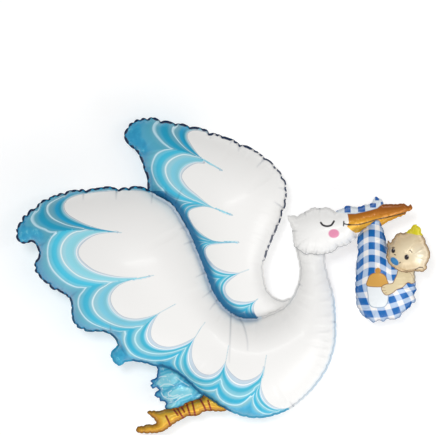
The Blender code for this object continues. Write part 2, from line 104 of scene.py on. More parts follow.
FAR_WING_OUTLINE = [
    (123.8, 136.4), (124.6, 131.4), (127.8, 127, 1), (129.6, 123.4), (133.4, 122, 1), (136, 119.4),
    (139.9, 119.2, 1), (143, 117.7), (147, 118.6, 1), (151.4, 117), (155.8, 117.6), (160.8, 121, 1),
    (166, 120.4), (171, 121.6), (175.4, 123.6, 1), (182.5, 123.2), (190, 126.6, 1), (196, 126.6),
    (202, 128), (206.8, 129.6), (209.4, 133, 1), (215, 133), (222.6, 135.6, 1), (229, 137.8),
    (234.6, 140), (240.2, 144.6, 1), (247, 145.4), (255.6, 150.2, 1), (261, 153.6), (265.2, 157.6, 1),
    (271, 161.2), (275.6, 166.6, 1), (280.4, 171.6), (283, 177.4, 1), (286, 182.2), (286.4, 188.6, 1),
    (287.4, 194.6), (285.8, 200.8, 1), (285.6, 206.4), (282.6, 211.6, 1), (281.6, 218), (278.8, 225.4),
    (272.4, 240), (267.8, 252), (264.9, 261), (263.8, 267.4), (264.6, 277), (266.6, 286.5),
    (270.6, 293.3), (277, 298.2), (284, 299.6), (289.6, 297.4), (292.6, 300.4), (286, 310), (271, 318),
    (257, 322.4), (244, 323.4), (230, 318.4), (219.6, 309), (209, 293.6), (202, 275.6), (190.6, 246),
    (179.4, 223), (168, 207.4), (157, 200), (148.6, 194), (147.2, 187), (147, 180), (145.9, 174.6),
    (143.6, 170.4, 1), (142.6, 165), (140.8, 160.4), (138.6, 155.4, 1), (136.2, 151.6), (132.5, 148.4),
    (128.6, 145.2, 1), (125.4, 141.2),
]
TAIL_OUTLINE = [
    (150.6, 357), (156.6, 367.4), (156.6, 374.4), (154.8, 378.6), (151.4, 379.2), (150.4, 381.2),
    (151.8, 383.4, 1), (150.2, 386), (152.4, 388.8), (156, 388), (158.6, 389.9, 1), (154.6, 393.2),
    (154.4, 396), (156.6, 397.8), (158.8, 398.6, 1), (160.4, 401.6), (164.6, 401.8), (165.4, 404, 1),
    (164.8, 407.6), (168, 411.4), (176, 411.4), (184, 408.4), (192, 404.6), (200, 400.6), (206, 394.6),
    (200, 387), (192, 379), (184, 371.6), (175, 365), (163, 359.4),
]
LEG_OUTLINE = [
    (147.2, 413), (148.6, 410.6), (154, 410.4), (159.4, 411), (163.4, 409.2), (169.5, 408.8),
    (176, 407.5), (181.4, 406), (184.6, 403.6), (187.6, 402), (194, 400), (201, 398), (204.6, 393.6),
    (212, 394.4), (220, 399.6), (227, 403.4), (229.4, 407.6), (224.6, 411.4), (217, 411.8), (207, 411.4),
    (201.6, 413.4), (197.6, 416), (192.4, 416.4), (187.6, 416.5), (181, 420.2), (174, 424.2),
    (167.5, 429.2), (162, 432), (155, 433.5), (143.4, 433.7), (138.2, 433), (135.7, 429.8), (138, 426.4),
    (143.4, 425.5), (147.4, 424.2), (153, 424.4), (155.4, 422.6, 1), (154, 419.4), (150.8, 416.4),
]
HEAD_OUTLINE = [
    (287.2, 216), (290.4, 215.1), (294.8, 215.4), (297.2, 216), (300.4, 214), (304.5, 211.8),
    (307.6, 210.2), (311.8, 207.5), (315.7, 207), (319.6, 207.9), (324, 207.1), (328.4, 207.2),
    (332, 209.2), (335.2, 211.2, 1), (340, 209.2), (344, 207.4), (346.2, 205.2), (350, 205.8),
    (355.3, 206.5), (361, 206), (365.5, 204.2), (370, 203.6), (371.6, 201.6), (373, 198.8),
    (375.7, 196.5), (378.4, 197.8), (381.6, 199.4), (382.8, 201.6), (384.2, 203.7, 1), (391, 203.9),
    (398.7, 203.6), (403.3, 203.2), (406.3, 205), (408.4, 205.4), (410.6, 204.2), (412.3, 206.6),
    (411.8, 209.6), (409, 211.4), (406.4, 212.2), (405.2, 214.4), (402.4, 216.1), (398, 217.6),
    (391, 220.5), (385.4, 223.2), (381, 226.4), (374, 228), (366.6, 229.2), (362, 231.2),
    (356.6, 233.2, 1), (356.6, 237), (355.2, 240.2), (352, 241.8), (348.6, 244.6), (343.3, 246.6),
    (338, 247.8), (334.8, 251), (329.4, 253.6), (322, 254.8), (315.7, 255.1), (309.4, 253.8),
    (305.6, 254.9), (301.8, 252.4), (297.4, 249.4), (293.8, 246), (292.6, 240), (292.2, 234.4),
    (291.6, 229.6), (289.8, 224), (287.8, 219.4),
]
BUNDLE_OUTLINE = [
    (377.8, 219.6), (373.4, 221.6), (368.4, 225.2), (362.5, 229.7), (358.4, 234), (357, 240),
    (357.1, 246.4), (357.9, 252), (356.6, 259), (355.6, 267), (355.6, 277), (355, 286), (355.6, 296),
    (356.6, 305.4), (359.7, 311.6), (364, 317), (369.4, 320), (374, 323), (379, 320.4), (383.2, 322),
    (387.4, 319.2), (391, 319.9), (396, 319.4), (399.8, 317.4), (402, 314), (405, 311), (410, 307.4),
    (411.6, 303.9), (414.6, 302.8), (415.8, 300), (414.9, 296.4), (414.7, 293), (416.6, 289.6),
    (415.8, 285), (415.6, 279), (415, 272), (413, 264), (407, 258.6), (398, 256.4), (391.6, 252.6),
    (387.8, 247), (386, 240), (384.2, 232.4), (382.2, 226.6), (380, 222),
]
BABY_OUTLINE = [
    (385.8, 257.4), (386.6, 252.4), (387.2, 247.6), (386.6, 243.6), (387.8, 240.4), (390.2, 241.6, 1),
    (392.2, 239.2), (394.4, 236.2), (396.8, 233.6), (400, 232.3), (403, 232.9), (406.2, 231.6),
    (409.4, 228.8), (411.6, 226.6), (413.6, 224.3), (416, 224.2), (417.6, 226.2), (419.8, 226.6),
    (420.8, 229.4), (421.6, 233.2), (424, 236.8), (425.4, 240.8), (427, 245.4), (429.4, 250),
    (430, 255.2), (429, 260), (426.8, 263.6), (426.8, 267.8), (424.8, 270.8), (421, 272), (414, 271.4),
    (407.6, 272.6), (402, 272), (395, 269), (389.2, 264.4),
]

# Feather lobes: the edge of the white, the ray to the rim at its end, and how deep its blues are
NEAR_LOBES = [
    [(152.4, 193.4), (144.2, 191.5), (136.5, 190.9), (128.9, 190.7), (121.2, 190.8), (113.6, 191.1),
     (105.9, 191.9), (98.3, 192.3), (90.6, 193.4), (83, 194.5), (77.6, 195.7), (71.5, 198), (66.9, 201),
     (65, 204.5), (65.4, 209.1), (68.4, 213.7), (73.8, 217.5), (83, 222.5), (90.6, 225.5), (102, 229),
     (119.3, 232.2)],
    [(119.3, 232.2), (105.2, 233.3), (95.4, 235.4), (87, 240.3), (81.4, 246), (79.3, 251.6),
     (80.7, 257.2), (85.6, 262.8), (94, 269), (105.2, 273.3), (119.3, 276.1), (134.7, 276.8),
     (150.8, 275.8)],
    [(150.8, 275.8), (140.3, 277.5), (130.5, 280.3), (122.1, 283.8), (116.5, 288), (112.3, 293.7),
     (111.3, 299.3), (113.7, 306.3), (119.3, 313), (126.3, 316.8), (136.1, 318.2), (145.9, 316.8),
     (152.9, 314.9), (160, 312.4)],
    [(160, 312.4), (155.5, 319), (152.4, 326), (151.3, 333), (153, 339), (158, 343.6), (164, 345.8),
     (171, 346.2), (180, 344), (188, 340.5), (195.3, 336.6)],
    [(195.3, 336.6), (193.4, 343), (192.2, 350), (192.4, 357), (194.6, 364), (198.6, 370), (204, 373.4),
     (210, 374.2), (216, 371.6), (221, 367), (225.6, 361.4)],
    [(225.6, 361.4), (227, 366), (230.5, 371.5), (236.5, 377), (242, 379.6), (248, 379.4), (254, 377.4),
     (259.4, 373.8), (262.4, 370), (264, 366)],
    [(264, 366), (262.8, 371.6), (261.8, 378), (261.2, 385), (262.6, 391.5), (265.4, 398), (270, 403.4),
     (276, 407), (283, 408.4), (289, 408), (293.4, 406.6)],
]
NEAR_RAYS = [
    [(152.4, 193.4), (152.6, 192.6)],
    [(119.3, 232.2), (105, 230.6), (92, 229.8), (75, 229.6), (58, 231), (50, 237), (44, 244),
     (38.8, 252.6)],
    [(150.8, 275.8), (137, 278.6), (122, 280.4), (112, 281.8), (98, 285), (86, 287.5), (77, 291.5),
     (69.2, 298.4)],
    [(160, 312.4), (150, 320), (143, 325.5), (134, 329), (124, 331), (117, 334.4), (112.4, 337)],
    [(195.3, 336.6), (190, 344), (184, 349), (177, 355), (171.5, 359.5), (166, 363), (159.5, 366.8)],
    [(225.6, 361.4), (223.4, 369), (221, 377), (217.6, 387), (213.5, 394), (209, 399)],
    [(264, 366), (262.8, 372), (261, 380), (258.6, 386), (255, 392), (252, 399), (249, 408), (246, 417.4)],
    [(293.4, 406.6), (294, 407)],
]
FIRST_LOWER_LOBE = 3
NEAR_DEPTHS = [1.0, 0.1, 0.4, 0.6, 0.6, 0.35, 0.35]

FAR_LOBES = [
    [(211, 134.6), (204.6, 132.3), (196.9, 130.8), (191.8, 131.3), (188, 133.8), (188, 138.3),
     (190.6, 143.4), (195.7, 151), (200.8, 157.4), (208.4, 164.2), (222.4, 170.8)],
    [(222.4, 170.8), (214.8, 166.9), (208.4, 164.8), (202, 163.6), (195.7, 163.8), (189.3, 167),
     (184.2, 171.4), (182, 176.5), (184.2, 181.6), (189.3, 188), (196.9, 194.4), (208.4, 204.2),
     (218, 209.8), (232.7, 215.4)],
    [(232.7, 215.4), (218, 210), (205.9, 206.8), (197, 207.8), (190.6, 210.3), (188.6, 214.2),
     (190.6, 219.9), (194.4, 226.3), (200.8, 232.7), (208.4, 238), (217.3, 241.2), (239, 242.4)],
    [(239, 242.4), (221.4, 243.8), (211.6, 245), (207.1, 247.4), (205.8, 250.9), (207.1, 256),
     (210.7, 261.4), (216, 266.6), (223.2, 270.2), (230.4, 271.9), (240, 273)],
    [(240, 273), (233, 278), (227.7, 282.8), (225.4, 287.6), (226.3, 292.7), (229.5, 297),
     (234.8, 300.2), (243.8, 301.6), (250.9, 301.2), (257, 299.4)],
    [(257, 299.4), (254.4, 304), (253.8, 309), (255.4, 314), (259, 317.4), (264, 318.6), (270, 317.4)],
]
FAR_RAYS = [
    [(211, 134.6), (211, 133)],
    [(222.4, 170.8), (208, 162.5), (192, 154), (176, 149.4), (160, 148.8), (148, 151), (138.6, 155.6)],
    [(232.7, 215.4), (215, 208.6), (200, 204.2), (186, 202.4), (175, 203.6), (166, 206.2)],
    [(239, 242.4), (217, 241.9), (205, 242.2), (198, 243), (189.8, 244.4)],
    [(240, 273), (228, 276), (216, 279.4), (210, 281.4), (204, 281)],
    [(257, 299.4), (252, 303.5), (247, 308), (244, 313), (242, 318), (241, 323)],
    [(270, 317.4), (271, 318)],
]
FAR_DEPTHS = [1.0, 0.35, 0.75, 0.9, 0.8, 0.6]

# Printed white lines between the bands, with their level between the white (0) and the rim (1)
LINE_B, LINE_C = 0.468, 0.777
NEAR_LINES = [
    (LINE_B, [(62.1, 197.1), (55.8, 200), (49.1, 203.8), (47.1, 207.9), (48, 212.8), (52.7, 218.1),
         (60.3, 222.1), (70, 225.7), (84, 228.3)]),
    (LINE_C, [(35.7, 210.6), (31.3, 217.7), (32.6, 222.1), (37.9, 226.6), (46.4, 229.3)]),
    (LINE_B, [(78, 231), (70.2, 234.7), (63.1, 243.1), (61.3, 253), (65.9, 264.2), (78.6, 275.4),
         (95.4, 280.3), (107, 281)]),
    (LINE_C, [(57, 233.2), (51.9, 237.5), (48.4, 246), (48.4, 258.6), (53.3, 269.8), (64.5, 281),
         (75.8, 286.6), (82, 287)]),
    (LINE_B, [(107, 285), (98.2, 290.8), (92.6, 302), (96.8, 313.3), (108, 321.7), (122, 326.6),
         (134, 327)]),
    (LINE_C, [(84, 290.6), (79.3, 296.5), (78.6, 306.3), (84, 316), (92.6, 323.1), (106.6, 328.7),
         (118, 331)]),
    (LINE_B, [(141, 328), (137, 332), (135, 337), (135.6, 342.4), (140.5, 348.6), (149, 352.4),
         (160, 353.6), (172, 352)]),
    (LINE_C, [(126, 333.6), (124.4, 339), (126.2, 346), (132, 353.6), (140, 358), (152, 360.4),
         (162, 360.2)]),
    (LINE_B, [(183.4, 352.4), (181.2, 358), (180.8, 364), (182.6, 370.5), (187, 376.4), (194, 381.7),
         (204, 384.6), (212.6, 383.6)]),
    (LINE_C, [(175.6, 358.6), (174.6, 364), (177.6, 369.8), (183.6, 375.4), (190.4, 381.2), (198, 387.4),
         (206, 390.6), (212.6, 390.2)]),
    (LINE_B, [(221.4, 383.6), (224.6, 389.6), (231, 394.6), (239, 396.6), (247, 394.8), (254, 390)]),
    (LINE_C, [(217.2, 393.6), (220.4, 399.2), (228, 404), (238, 404.8), (245, 401), (250.4, 395.4)]),
    (LINE_B, [(257.2, 389), (256.4, 395), (258.8, 401), (263.4, 406.2), (270.4, 410.2), (280, 412)]),
    (LINE_C, [(252.8, 398), (253.8, 403.6), (257.6, 409.6), (263.6, 413.4), (271, 414.4)]),
]
FAR_LINES = [
    (LINE_B, [(176.4, 124.4), (173.2, 127), (172.2, 131.2), (175.3, 137), (182.9, 145.9), (191.8, 153),
         (202, 158.4)]),
    (LINE_C, [(157.6, 120.8), (154.4, 124), (153, 128.2), (154.8, 133.2), (162.5, 142.1), (168, 146.4)]),
    (LINE_B, [(190, 155.2), (181.6, 154.8), (171.4, 159.3), (165.7, 166.3), (166.3, 175.3),
         (171.4, 184.2), (182.9, 194.4), (194, 200.4)]),
    (LINE_C, [(168, 149.6), (163.8, 150.2), (156.1, 154.8), (151.7, 166.3), (152.9, 175.3),
         (157.4, 184.2), (163, 189.4)]),
]
# Where lines B and C cross each ray, as shares of its length
NEAR_CROSSINGS = {1: (0.345, 0.70), 2: (0.45, 0.76), 3: (0.40, 0.74), 4: (0.30, 0.52), 5: (0.435, 0.69),
                  6: (0.335, 0.53)}
FAR_CROSSINGS = {1: (0.28, 0.61), 2: (0.30, 0.62), 3: (0.30, 0.6), 4: (0.30, 0.6), 5: (0.30, 0.6)}
# The band that meets the upper rim, by the place across the sheet
NEAR_UPPER_RIM = [(28, 0.97), (37, 0.86), (41, LINE_C), (50, 0.66), (62, 0.56), (68, LINE_B), (84, 0.33),
                  (152, 0.27)]
FAR_UPPER_RIM = [(138, 0.97), (155, 0.84), (158.6, LINE_C), (168, 0.62), (174, 0.54), (177.6, LINE_B),
                 (190, 0.24), (204, 0.08)]

# Long folds, each from its deepest end
NEAR_CREASES = [
    [(83.5, 192), (83.5, 199.5)], [(116.5, 189), (116.3, 199)], [(152.5, 192.6), (151.5, 203)],
    [(38.4, 246.2), (47.3, 242.2)], [(70, 298.2), (77.2, 291.5)], [(110.4, 332), (110.4, 323.6)],
    [(231, 313), (230.4, 330), (229.6, 350), (229.2, 362)],
    [(236, 315), (243, 324), (247, 339), (247.6, 350)], [(294, 407), (290, 402)], [(59, 292), (63, 288)],
    [(119, 340), (123, 350), (127.8, 355.7), (132.3, 360.3), (137.4, 360.8)], [(60.4, 192.8), (61, 197)],
    [(186, 226), (180, 229)], [(193.4, 241), (184, 244)], [(336.4, 322), (331, 321.4)],
    [(298.6, 284), (302, 286)], [(206, 272), (196, 277)], [(212.6, 290), (203, 297)],
    [(218, 299), (210, 309)],
]
HEAD_CREASES = [
    [(316, 255), (317, 250.4)], [(325, 254.5), (325.5, 250.5)], [(338, 247.8), (336, 244)],
    [(345, 246.2), (342, 242.5)], [(351, 242.6), (347.5, 239.5)], [(356.6, 237.6), (352, 236.6)],
    [(296, 248), (300, 244)], [(305.6, 254.8), (306, 249.4)], [(291.8, 231), (297, 231)],
    [(304.5, 211.8), (306, 216)], [(319.6, 207.8), (319.5, 212)], [(330, 253.4), (329.6, 249)],
]
FAR_CREASES = [
    [(175.5, 203), (182.3, 188.6)], [(165.7, 198), (165.7, 186.7)], [(210, 133), (210.3, 138.6)],
    [(240.2, 144.6), (238.4, 151)], [(265.2, 157.6), (256.9, 167)], [(284.4, 209), (274.7, 202)],
    [(155.8, 118), (156, 122)], [(143.4, 170.6), (149, 170)], [(286.4, 188.6), (279, 188)],
    [(232, 139), (230, 144)],
]
# Soft shadows where the whites of two feathers meet
CUSP_LINES_NEAR = [
    [(119.3, 232.2), (112, 231.8), (122, 232.6)], [(150.8, 275.8), (136, 278.2), (154, 275.2)],
    [(150, 320), (160, 312.4), (168, 308), (176, 303.6)],
    [(189, 346), (195.3, 336.6), (200, 329), (205, 322)], [(224, 368), (226.4, 358), (228.6, 345)],
    [(263.4, 375), (265.2, 362), (266.4, 355)],
]
CUSP_LINES_FAR = [
    [(208, 163), (222.4, 170.8)], [(215, 208.8), (232.7, 215.4)], [(212, 242), (239, 242.4)],
    [(238, 273.4), (249, 269.4)], [(252, 303.5), (258, 298.6)],
]


def to_world(points):
    """Places on the sheet, in metres from its centre."""
    return np.column_stack([points[:, 0] - SHEET_CENTRE[0], SHEET_CENTRE[1] - points[:, 1]]) * UNIT


def spline(a, b, c, d, t):
    """The point at t from b to c, on a smooth curve through all four."""
    return 0.5 * (2 * b + (c - a) * t + (2 * a - 5 * b + 4 * c - d) * t * t
                  + (3 * b - a - 3 * c + d) * t ** 3)


def run_along(points):
    """Length along a polyline to each of its points."""
    return np.concatenate([[0], np.cumsum(np.linalg.norm(np.diff(points, axis=0), axis=1))])


def at_lengths(points, at):
    """The points at these lengths along a polyline."""
    run = run_along(points)
    return np.column_stack([np.interp(at, run, points[:, 0]), np.interp(at, run, points[:, 1])])


def curve_through(outline, per_span=8):
    """Dense smooth closed curve through the points, with creases kept sharp, and the crease positions."""
    points = np.array([p[:2] for p in outline], float)
    crease = [len(p) > 2 for p in outline]
    count = len(points)
    dense, marks = [], []
    for i in range(count):
        before, start, end, after = (points[(i + k) % count] for k in (-1, 0, 1, 2))
        if crease[i]:
            before = 2 * start - end
            marks.append(len(dense))
        if crease[(i + 1) % count]:
            after = 2 * end - start
        dense.extend(spline(before, start, end, after, k / per_span) for k in range(per_span))
    return np.array(dense), marks


def open_curve(points, count):
    """Smooth open curve through the points, with a number of evenly spaced samples."""
    points = np.array(points, float)
    if len(points) > 2:
        ends = np.vstack([2 * points[0] - points[1], points, 2 * points[-1] - points[-2]])
        points = np.vstack([[spline(*ends[i - 1:i + 3], k / 8) for i in range(1, len(ends) - 2)
                             for k in range(8)], points[-1]])
    return at_lengths(points, np.linspace(0, run_along(points)[-1], count))


def evenly(outline, step):
    """Evenly spaced points on the curve through an outline, and which of them are creases."""
    dense, marks = curve_through(outline)
    count = len(dense)
    marks = marks or [0]
    result, creases = [], []
    for a, b in zip(marks, marks[1:] + [marks[0] + count]):
        creases.append(len(result))
        stretch = dense[[k % count for k in range(a, b + 1)]]
        long = run_along(stretch)[-1]
        result.extend(at_lengths(stretch, np.linspace(0, long, max(1, round(long / step)) + 1)[:-1]))
    return np.array(result), creases


def nearest_on(points, line, closed=False):
    """Distance to a polyline, the length along it to the nearest point, and its whole length."""
    ends = np.roll(line, -1, axis=0) if closed else line[1:]
    best = np.full(len(points), np.inf)
    where = np.zeros(len(points))
    run = 0.0
    for a, b in zip(line, ends):
        d = b - a
        long = float(np.hypot(*d))
        if long < 1e-9:
            continue
        t = np.clip(((points - a) @ d) / (long * long), 0, 1)
        gap = np.hypot(*(points - a - t[:, None] * d).T)
        nearer = gap < best
        best[nearer] = gap[nearer]
        where[nearer] = run + t[nearer] * long
        run += long
    return best, where, run


def gap_to(points, line, closed=False):
    return nearest_on(points, np.asarray(line, float), closed)[0]


def inside(points, loop):
    result = np.zeros(len(points), bool)
    x, y = points.T
    for (ax, ay), (bx, by) in zip(loop, np.roll(loop, -1, axis=0)):
        if ay != by:
            crossing = (ay > y) != (by > y)
            result ^= crossing & (x < (bx - ax) * (y - ay) / (by - ay) + ax)
    return result


def signed(points, loop):
    """Distance to a closed shape, below zero inside it."""
    gap = gap_to(points, loop, True)
    return np.where(inside(points, np.asarray(loop, float)), -gap, gap)


def shape_of(points):
    """Smooth closed shape through the points."""
    return curve_through(points, 6)[0]


def inwards(loop, orientation):
    """Unit vectors from the points of a loop towards its inside."""
    along = np.roll(loop, -1, axis=0) - np.roll(loop, 1, axis=0)
    normals = np.column_stack([-along[:, 1], along[:, 0]]) * orientation
    return normals / np.maximum(np.linalg.norm(normals, axis=1), 1e-9)[:, None]


def ring_inside(loop, depth, orientation):
    """The loop moved inwards, without the points that come too near it in a sharp corner."""
    ring = loop + inwards(loop, orientation) * depth
    return ring[(gap_to(ring, loop, True) > 0.88 * depth) & inside(ring, loop)]


def tree_of(points):
    tree = kdtree.KDTree(len(points))
    for n, p in enumerate(points):
        tree.insert((*p, 0), n)
    tree.balance()
    return tree


def conjugate_gradient(apply, load, diagonal, steps=900, tolerance=1e-7):
    x = np.zeros_like(load)
    r = load.copy()
    z = r / diagonal
    p = z.copy()
    rz = first = r @ z
    for _ in range(steps):
        ap = apply(p)
        alpha = rz / (p @ ap)
        x += alpha * p
        r -= alpha * ap
        z = r / diagonal
        new = r @ z
        if new < tolerance ** 2 * first:
            break
        p = z + (new / rz) * p
        rz = new
    return x


class Foil:
    """One chamber as a fine skin: flat points on the sheet, triangles, rim distance and half thickness."""

    def __init__(self, name, outline, spacing, fullness, seam, seed, pitch, guides=()):
        self.name, self.seam = name, seam
        loop, creases = evenly(outline, spacing)
        side = np.roll(loop, -1, axis=0)
        turn = (loop[:, 0] * side[:, 1] - side[:, 0] * loop[:, 1]).sum()
        orientation = 1 if turn > 0 else -1
        lengths = np.linalg.norm(side - loop, axis=1)
        start = np.concatenate([[0], np.cumsum(lengths)])[:-1]
        self.total = lengths.sum()
        self.place_puckers(start, creases, pitch, np.random.default_rng(seed))
        # The seam draws in a little at each pucker
        near = self.round_gap(start)
        draw = np.minimum((np.exp(-(near / 1.2) ** 2) * self.depth).sum(axis=1), 1.2)
        self.loop = loop + inwards(loop, orientation) * (SCALLOP * draw)[:, None]
        self.mesh_up(orientation, spacing, guides)
        self.edge, self.arc, around = nearest_on(self.flat, self.loop, True)
        self.arc = self.arc * self.total / around
        rise = self.solved(self.edge > RIM * 1.02, np.zeros(len(self.flat)), True)
        self.half = fullness * np.sqrt(np.maximum(rise, 0))
        self.wrinkle()

    def place_puckers(self, start, creases, pitch, rng):
        """Where the puckers are along the seam, how deep they go and how far in they run."""
        at = [start[c] for c in creases]
        marks = sorted(at) if len(creases) > 1 else []
        s = 0.0
        while s < self.total - 0.5 * pitch:
            if not marks or min(min(abs(s - m), self.total - abs(s - m)) for m in marks) > 0.55 * pitch:
                at.append(s)
            s += pitch * rng.uniform(0.65, 1.35)
        self.puckers = np.array(sorted(at))
        self.depth = rng.uniform(0.35, 1.0, len(at))
        self.reach = rng.uniform(0.5, 1.6, len(at))
        self.reach[rng.random(len(at)) < LONG_PUCKER_SHARE] *= 2.2

    def round_gap(self, at):
        """Distance along the seam from each place to each pucker."""
        gap = np.abs(at[:, None] - self.puckers[None, :])
        return np.minimum(gap, self.total - gap)

    def mesh_up(self, orientation, spacing, guides):
        """Triangles over the chamber, on rings along its seam, printed lines and an even grid."""
        loop, row = self.loop, spacing * math.sqrt(0.75)
        rim, *rings = (ring_inside(loop, RIM + d, orientation) for d in (0, 0.45 * spacing, 1.1 * spacing))
        low, high = loop.min(axis=0), loop.max(axis=0)
        rows, columns = int((high[1] - low[1]) / row) + 2, int((high[0] - low[0]) / spacing) + 2
        r, c = np.meshgrid(np.arange(rows), np.arange(columns), indexing="ij")
        grid = np.column_stack([(low[0] + (c + 0.5 * (r % 2)) * spacing).ravel(), (low[1] + r * row).ravel()])
        grid = grid[inside(grid, loop)]
        grid = grid[gap_to(grid, loop, True) > RIM + 1.7 * spacing]
        # Printed edges run along mesh edges, so that they stay crisp
        printed = []
        for guide in guides:
            line = open_curve(guide, max(2, int(run_along(np.array(guide))[-1] / spacing)))
            line = line[inside(line, loop) & (gap_to(line, loop, True) > RIM + 0.6 * spacing)]
            if len(line):
                printed.append(line)
            if len(line) > 1:
                grid = grid[gap_to(grid, line) > 0.55 * spacing]
        edges, first = [], 0
        for ring in (loop, rim):
            edges.extend((first + k, first + (k + 1) % len(ring)) for k in range(len(ring)))
            first += len(ring)
        points = np.vstack([loop, rim, *rings, *printed, grid])
        flat, _, faces = delaunay_2d_cdt([tuple(p) for p in points], edges, [], 1, 1e-6)[:3]
        flat, faces = np.array([tuple(p) for p in flat]), np.array([tuple(f) for f in faces])
        faces = faces[inside(flat[faces].mean(axis=1), loop)]
        used = np.unique(faces)
        where = np.full(len(flat), -1)
        where[used] = np.arange(len(used))
        self.flat, faces = flat[used], where[faces]
        # Sheet y points down, so the front faces need the other turn
        (ax, ay), (bx, by), (cx, cy) = (self.flat[faces[:, k]].T for k in range(3))
        area = (bx - ax) * (cy - ay) - (by - ay) * (cx - ax)
        self.faces = np.where((area < 0)[:, None], faces, faces[:, ::-1])

    def weights(self):
        """How strongly the two ends of each mesh edge pull on each other, and the load on each point."""
        flat = self.flat * UNIT
        load = np.zeros(len(flat))
        i, j, k = self.faces.T
        rows, cols, pulls = [], [], []
        for p, q, o in ((i, j, k), (j, k, i), (k, i, j)):
            a, b = flat[p] - flat[o], flat[q] - flat[o]
            area = np.abs(a[:, 0] * b[:, 1] - a[:, 1] * b[:, 0])
            rows.append(p), cols.append(q)
            pulls.append(0.5 * (a * b).sum(axis=1) / np.maximum(area, 1e-12))
            np.add.at(load, p, area / 6)
        return np.concatenate(rows), np.concatenate(cols), np.concatenate(pulls), load

    def solved(self, free, fixed, pushed=False):
        """A smooth field over the skin: held where it isn't free, and elsewhere pushed up or left slack."""
        p, q, w, load = self.weights()
        n = len(self.flat)

        def pull(x):
            return np.bincount(p, w * x[q], n) + np.bincount(q, w * x[p], n)

        held = np.where(free, 0.0, fixed)
        load = np.where(free, (load if pushed else 0.0) + pull(held), 0.0)
        diagonal = np.maximum(np.where(free, np.bincount(p, w, n) + np.bincount(q, w, n), 1.0), 1e-9)

        def apply(x):
            y = diagonal * x - np.bincount(p, w * x[q], n) - np.bincount(q, w * x[p], n)
            y[~free] = 0
            return y

        return np.where(free, conjugate_gradient(apply, load, diagonal), held)

    def wrinkle(self):
        """Puckers running in from the seam, sharp in their valleys and full between them."""
        gap = self.round_gap(self.arc)
        inward = np.maximum(self.edge - RIM, 0)
        width = 0.75 + 0.13 * inward[:, None]
        run = 5.0 * self.reach[None, :]
        valley = (np.exp(-np.minimum(gap / width, 6) ** 1.6) * np.exp(-(inward[:, None] / run) ** 1.3)
                  * self.depth[None, :])
        self.valley = np.minimum(valley.sum(axis=1), 1.3)
        self.near_pucker = gap.min(axis=1)
        self.bulge = (1 - np.exp(-(self.near_pucker / 2.6) ** 2)) * np.exp(-inward / 7.0)

    def crease(self, lines):
        """How close each point is to a named fold, from 0 to 1."""
        groove = np.zeros(len(self.flat))
        for line in lines:
            off, along, long = nearest_on(self.flat, open_curve(line, 24))
            groove = np.maximum(groove, np.exp(-(off / 0.75) ** 2) * (1 - 0.75 * along / long))
        return groove

    def heights(self, amount=0.13, bulge=0.07, groove=None):
        """Places, front heights and back heights, with the puckers and folds in them."""
        xy = to_world(self.flat)
        if groove is not None:
            amount = amount + 0.10 * groove / np.maximum(self.valley, 0.3)
        seam = self.seam[0] + xy @ np.array(self.seam[1:])
        half = self.half * (1 - amount * self.valley) * (1 + bulge * (self.bulge - 0.5))
        wave = np.cos(2 * math.pi * self.near_pucker / 7.5) * 0.35 + np.cos(self.arc * 0.55) * 0.3
        lift = wave * RIM_WAVE * UNIT * np.exp(-self.edge / 2.2)
        half = half + RIM_THICKNESS / 2
        return [xy, seam + lift + half, seam + lift - half]


def sampled(foil, values, points):
    """Values of a chamber's field at sheet points, by its nearest points."""
    tree = tree_of(foil.flat)
    result = np.empty(len(points))
    for n, p in enumerate(points):
        weight = total = 0.0
        for _, i, gap in tree.find_n((*p, 0), 3):
            w = 1 / (gap + 1e-3)
            weight += w
            total += w * values[i]
        result[n] = total / weight
    return result


def make_piece(foil, fields, material):
    """The front and back of a chamber, joined along its rim, with its fields as attributes."""
    node, (xy, front, back) = foil.name, surfaces[foil.name]
    count = len(xy)
    back = np.maximum(back, 0.0)
    front = np.maximum(front, back + THINNEST)
    verts = np.vstack([np.column_stack([xy, front]), np.column_stack([xy, back])])
    faces = foil.faces
    a, b = np.concatenate([faces[:, [0, 1]], faces[:, [1, 2]], faces[:, [2, 0]]]).T
    outer = ~np.isin(a * count + b, b * count + a)
    a, b = a[outer], b[outer]
    triangles = np.vstack([faces, faces[:, ::-1] + count, np.column_stack([b, a, a + count]),
                           np.column_stack([b, a + count, b + count])])
    mesh = bpy.data.meshes.new(node + "_skin")
    mesh.vertices.add(len(verts))
    mesh.vertices.foreach_set("co", verts.ravel())
    mesh.loops.add(triangles.size)
    mesh.loops.foreach_set("vertex_index", triangles.ravel().astype(np.int32))
    mesh.polygons.add(len(triangles))
    mesh.polygons.foreach_set("loop_start", np.arange(0, triangles.size, 3, dtype=np.int32))
    mesh.polygons.foreach_set("use_smooth", np.ones(len(triangles), bool))
    mesh.update(calc_edges=True)
    mesh.validate()
    turn, radius = foil.arc / foil.total * 2 * math.pi, foil.total * 0.08
    fields = {**fields, "edge": foil.edge, "round_x": np.cos(turn) * radius, "round_y": np.sin(turn) * radius,
              "pucker": foil.near_pucker}
    for name, values in fields.items():
        layer = mesh.attributes.new(name, "FLOAT", "POINT")
        layer.data.foreach_set("value", np.concatenate([values, values]).astype(np.float32))
    piece = bpy.data.objects.new(node + "_skin", mesh)
    bpy.context.scene.collection.objects.link(piece)
    mesh.materials.append(material)
    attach(piece, "root")
    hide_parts(node)


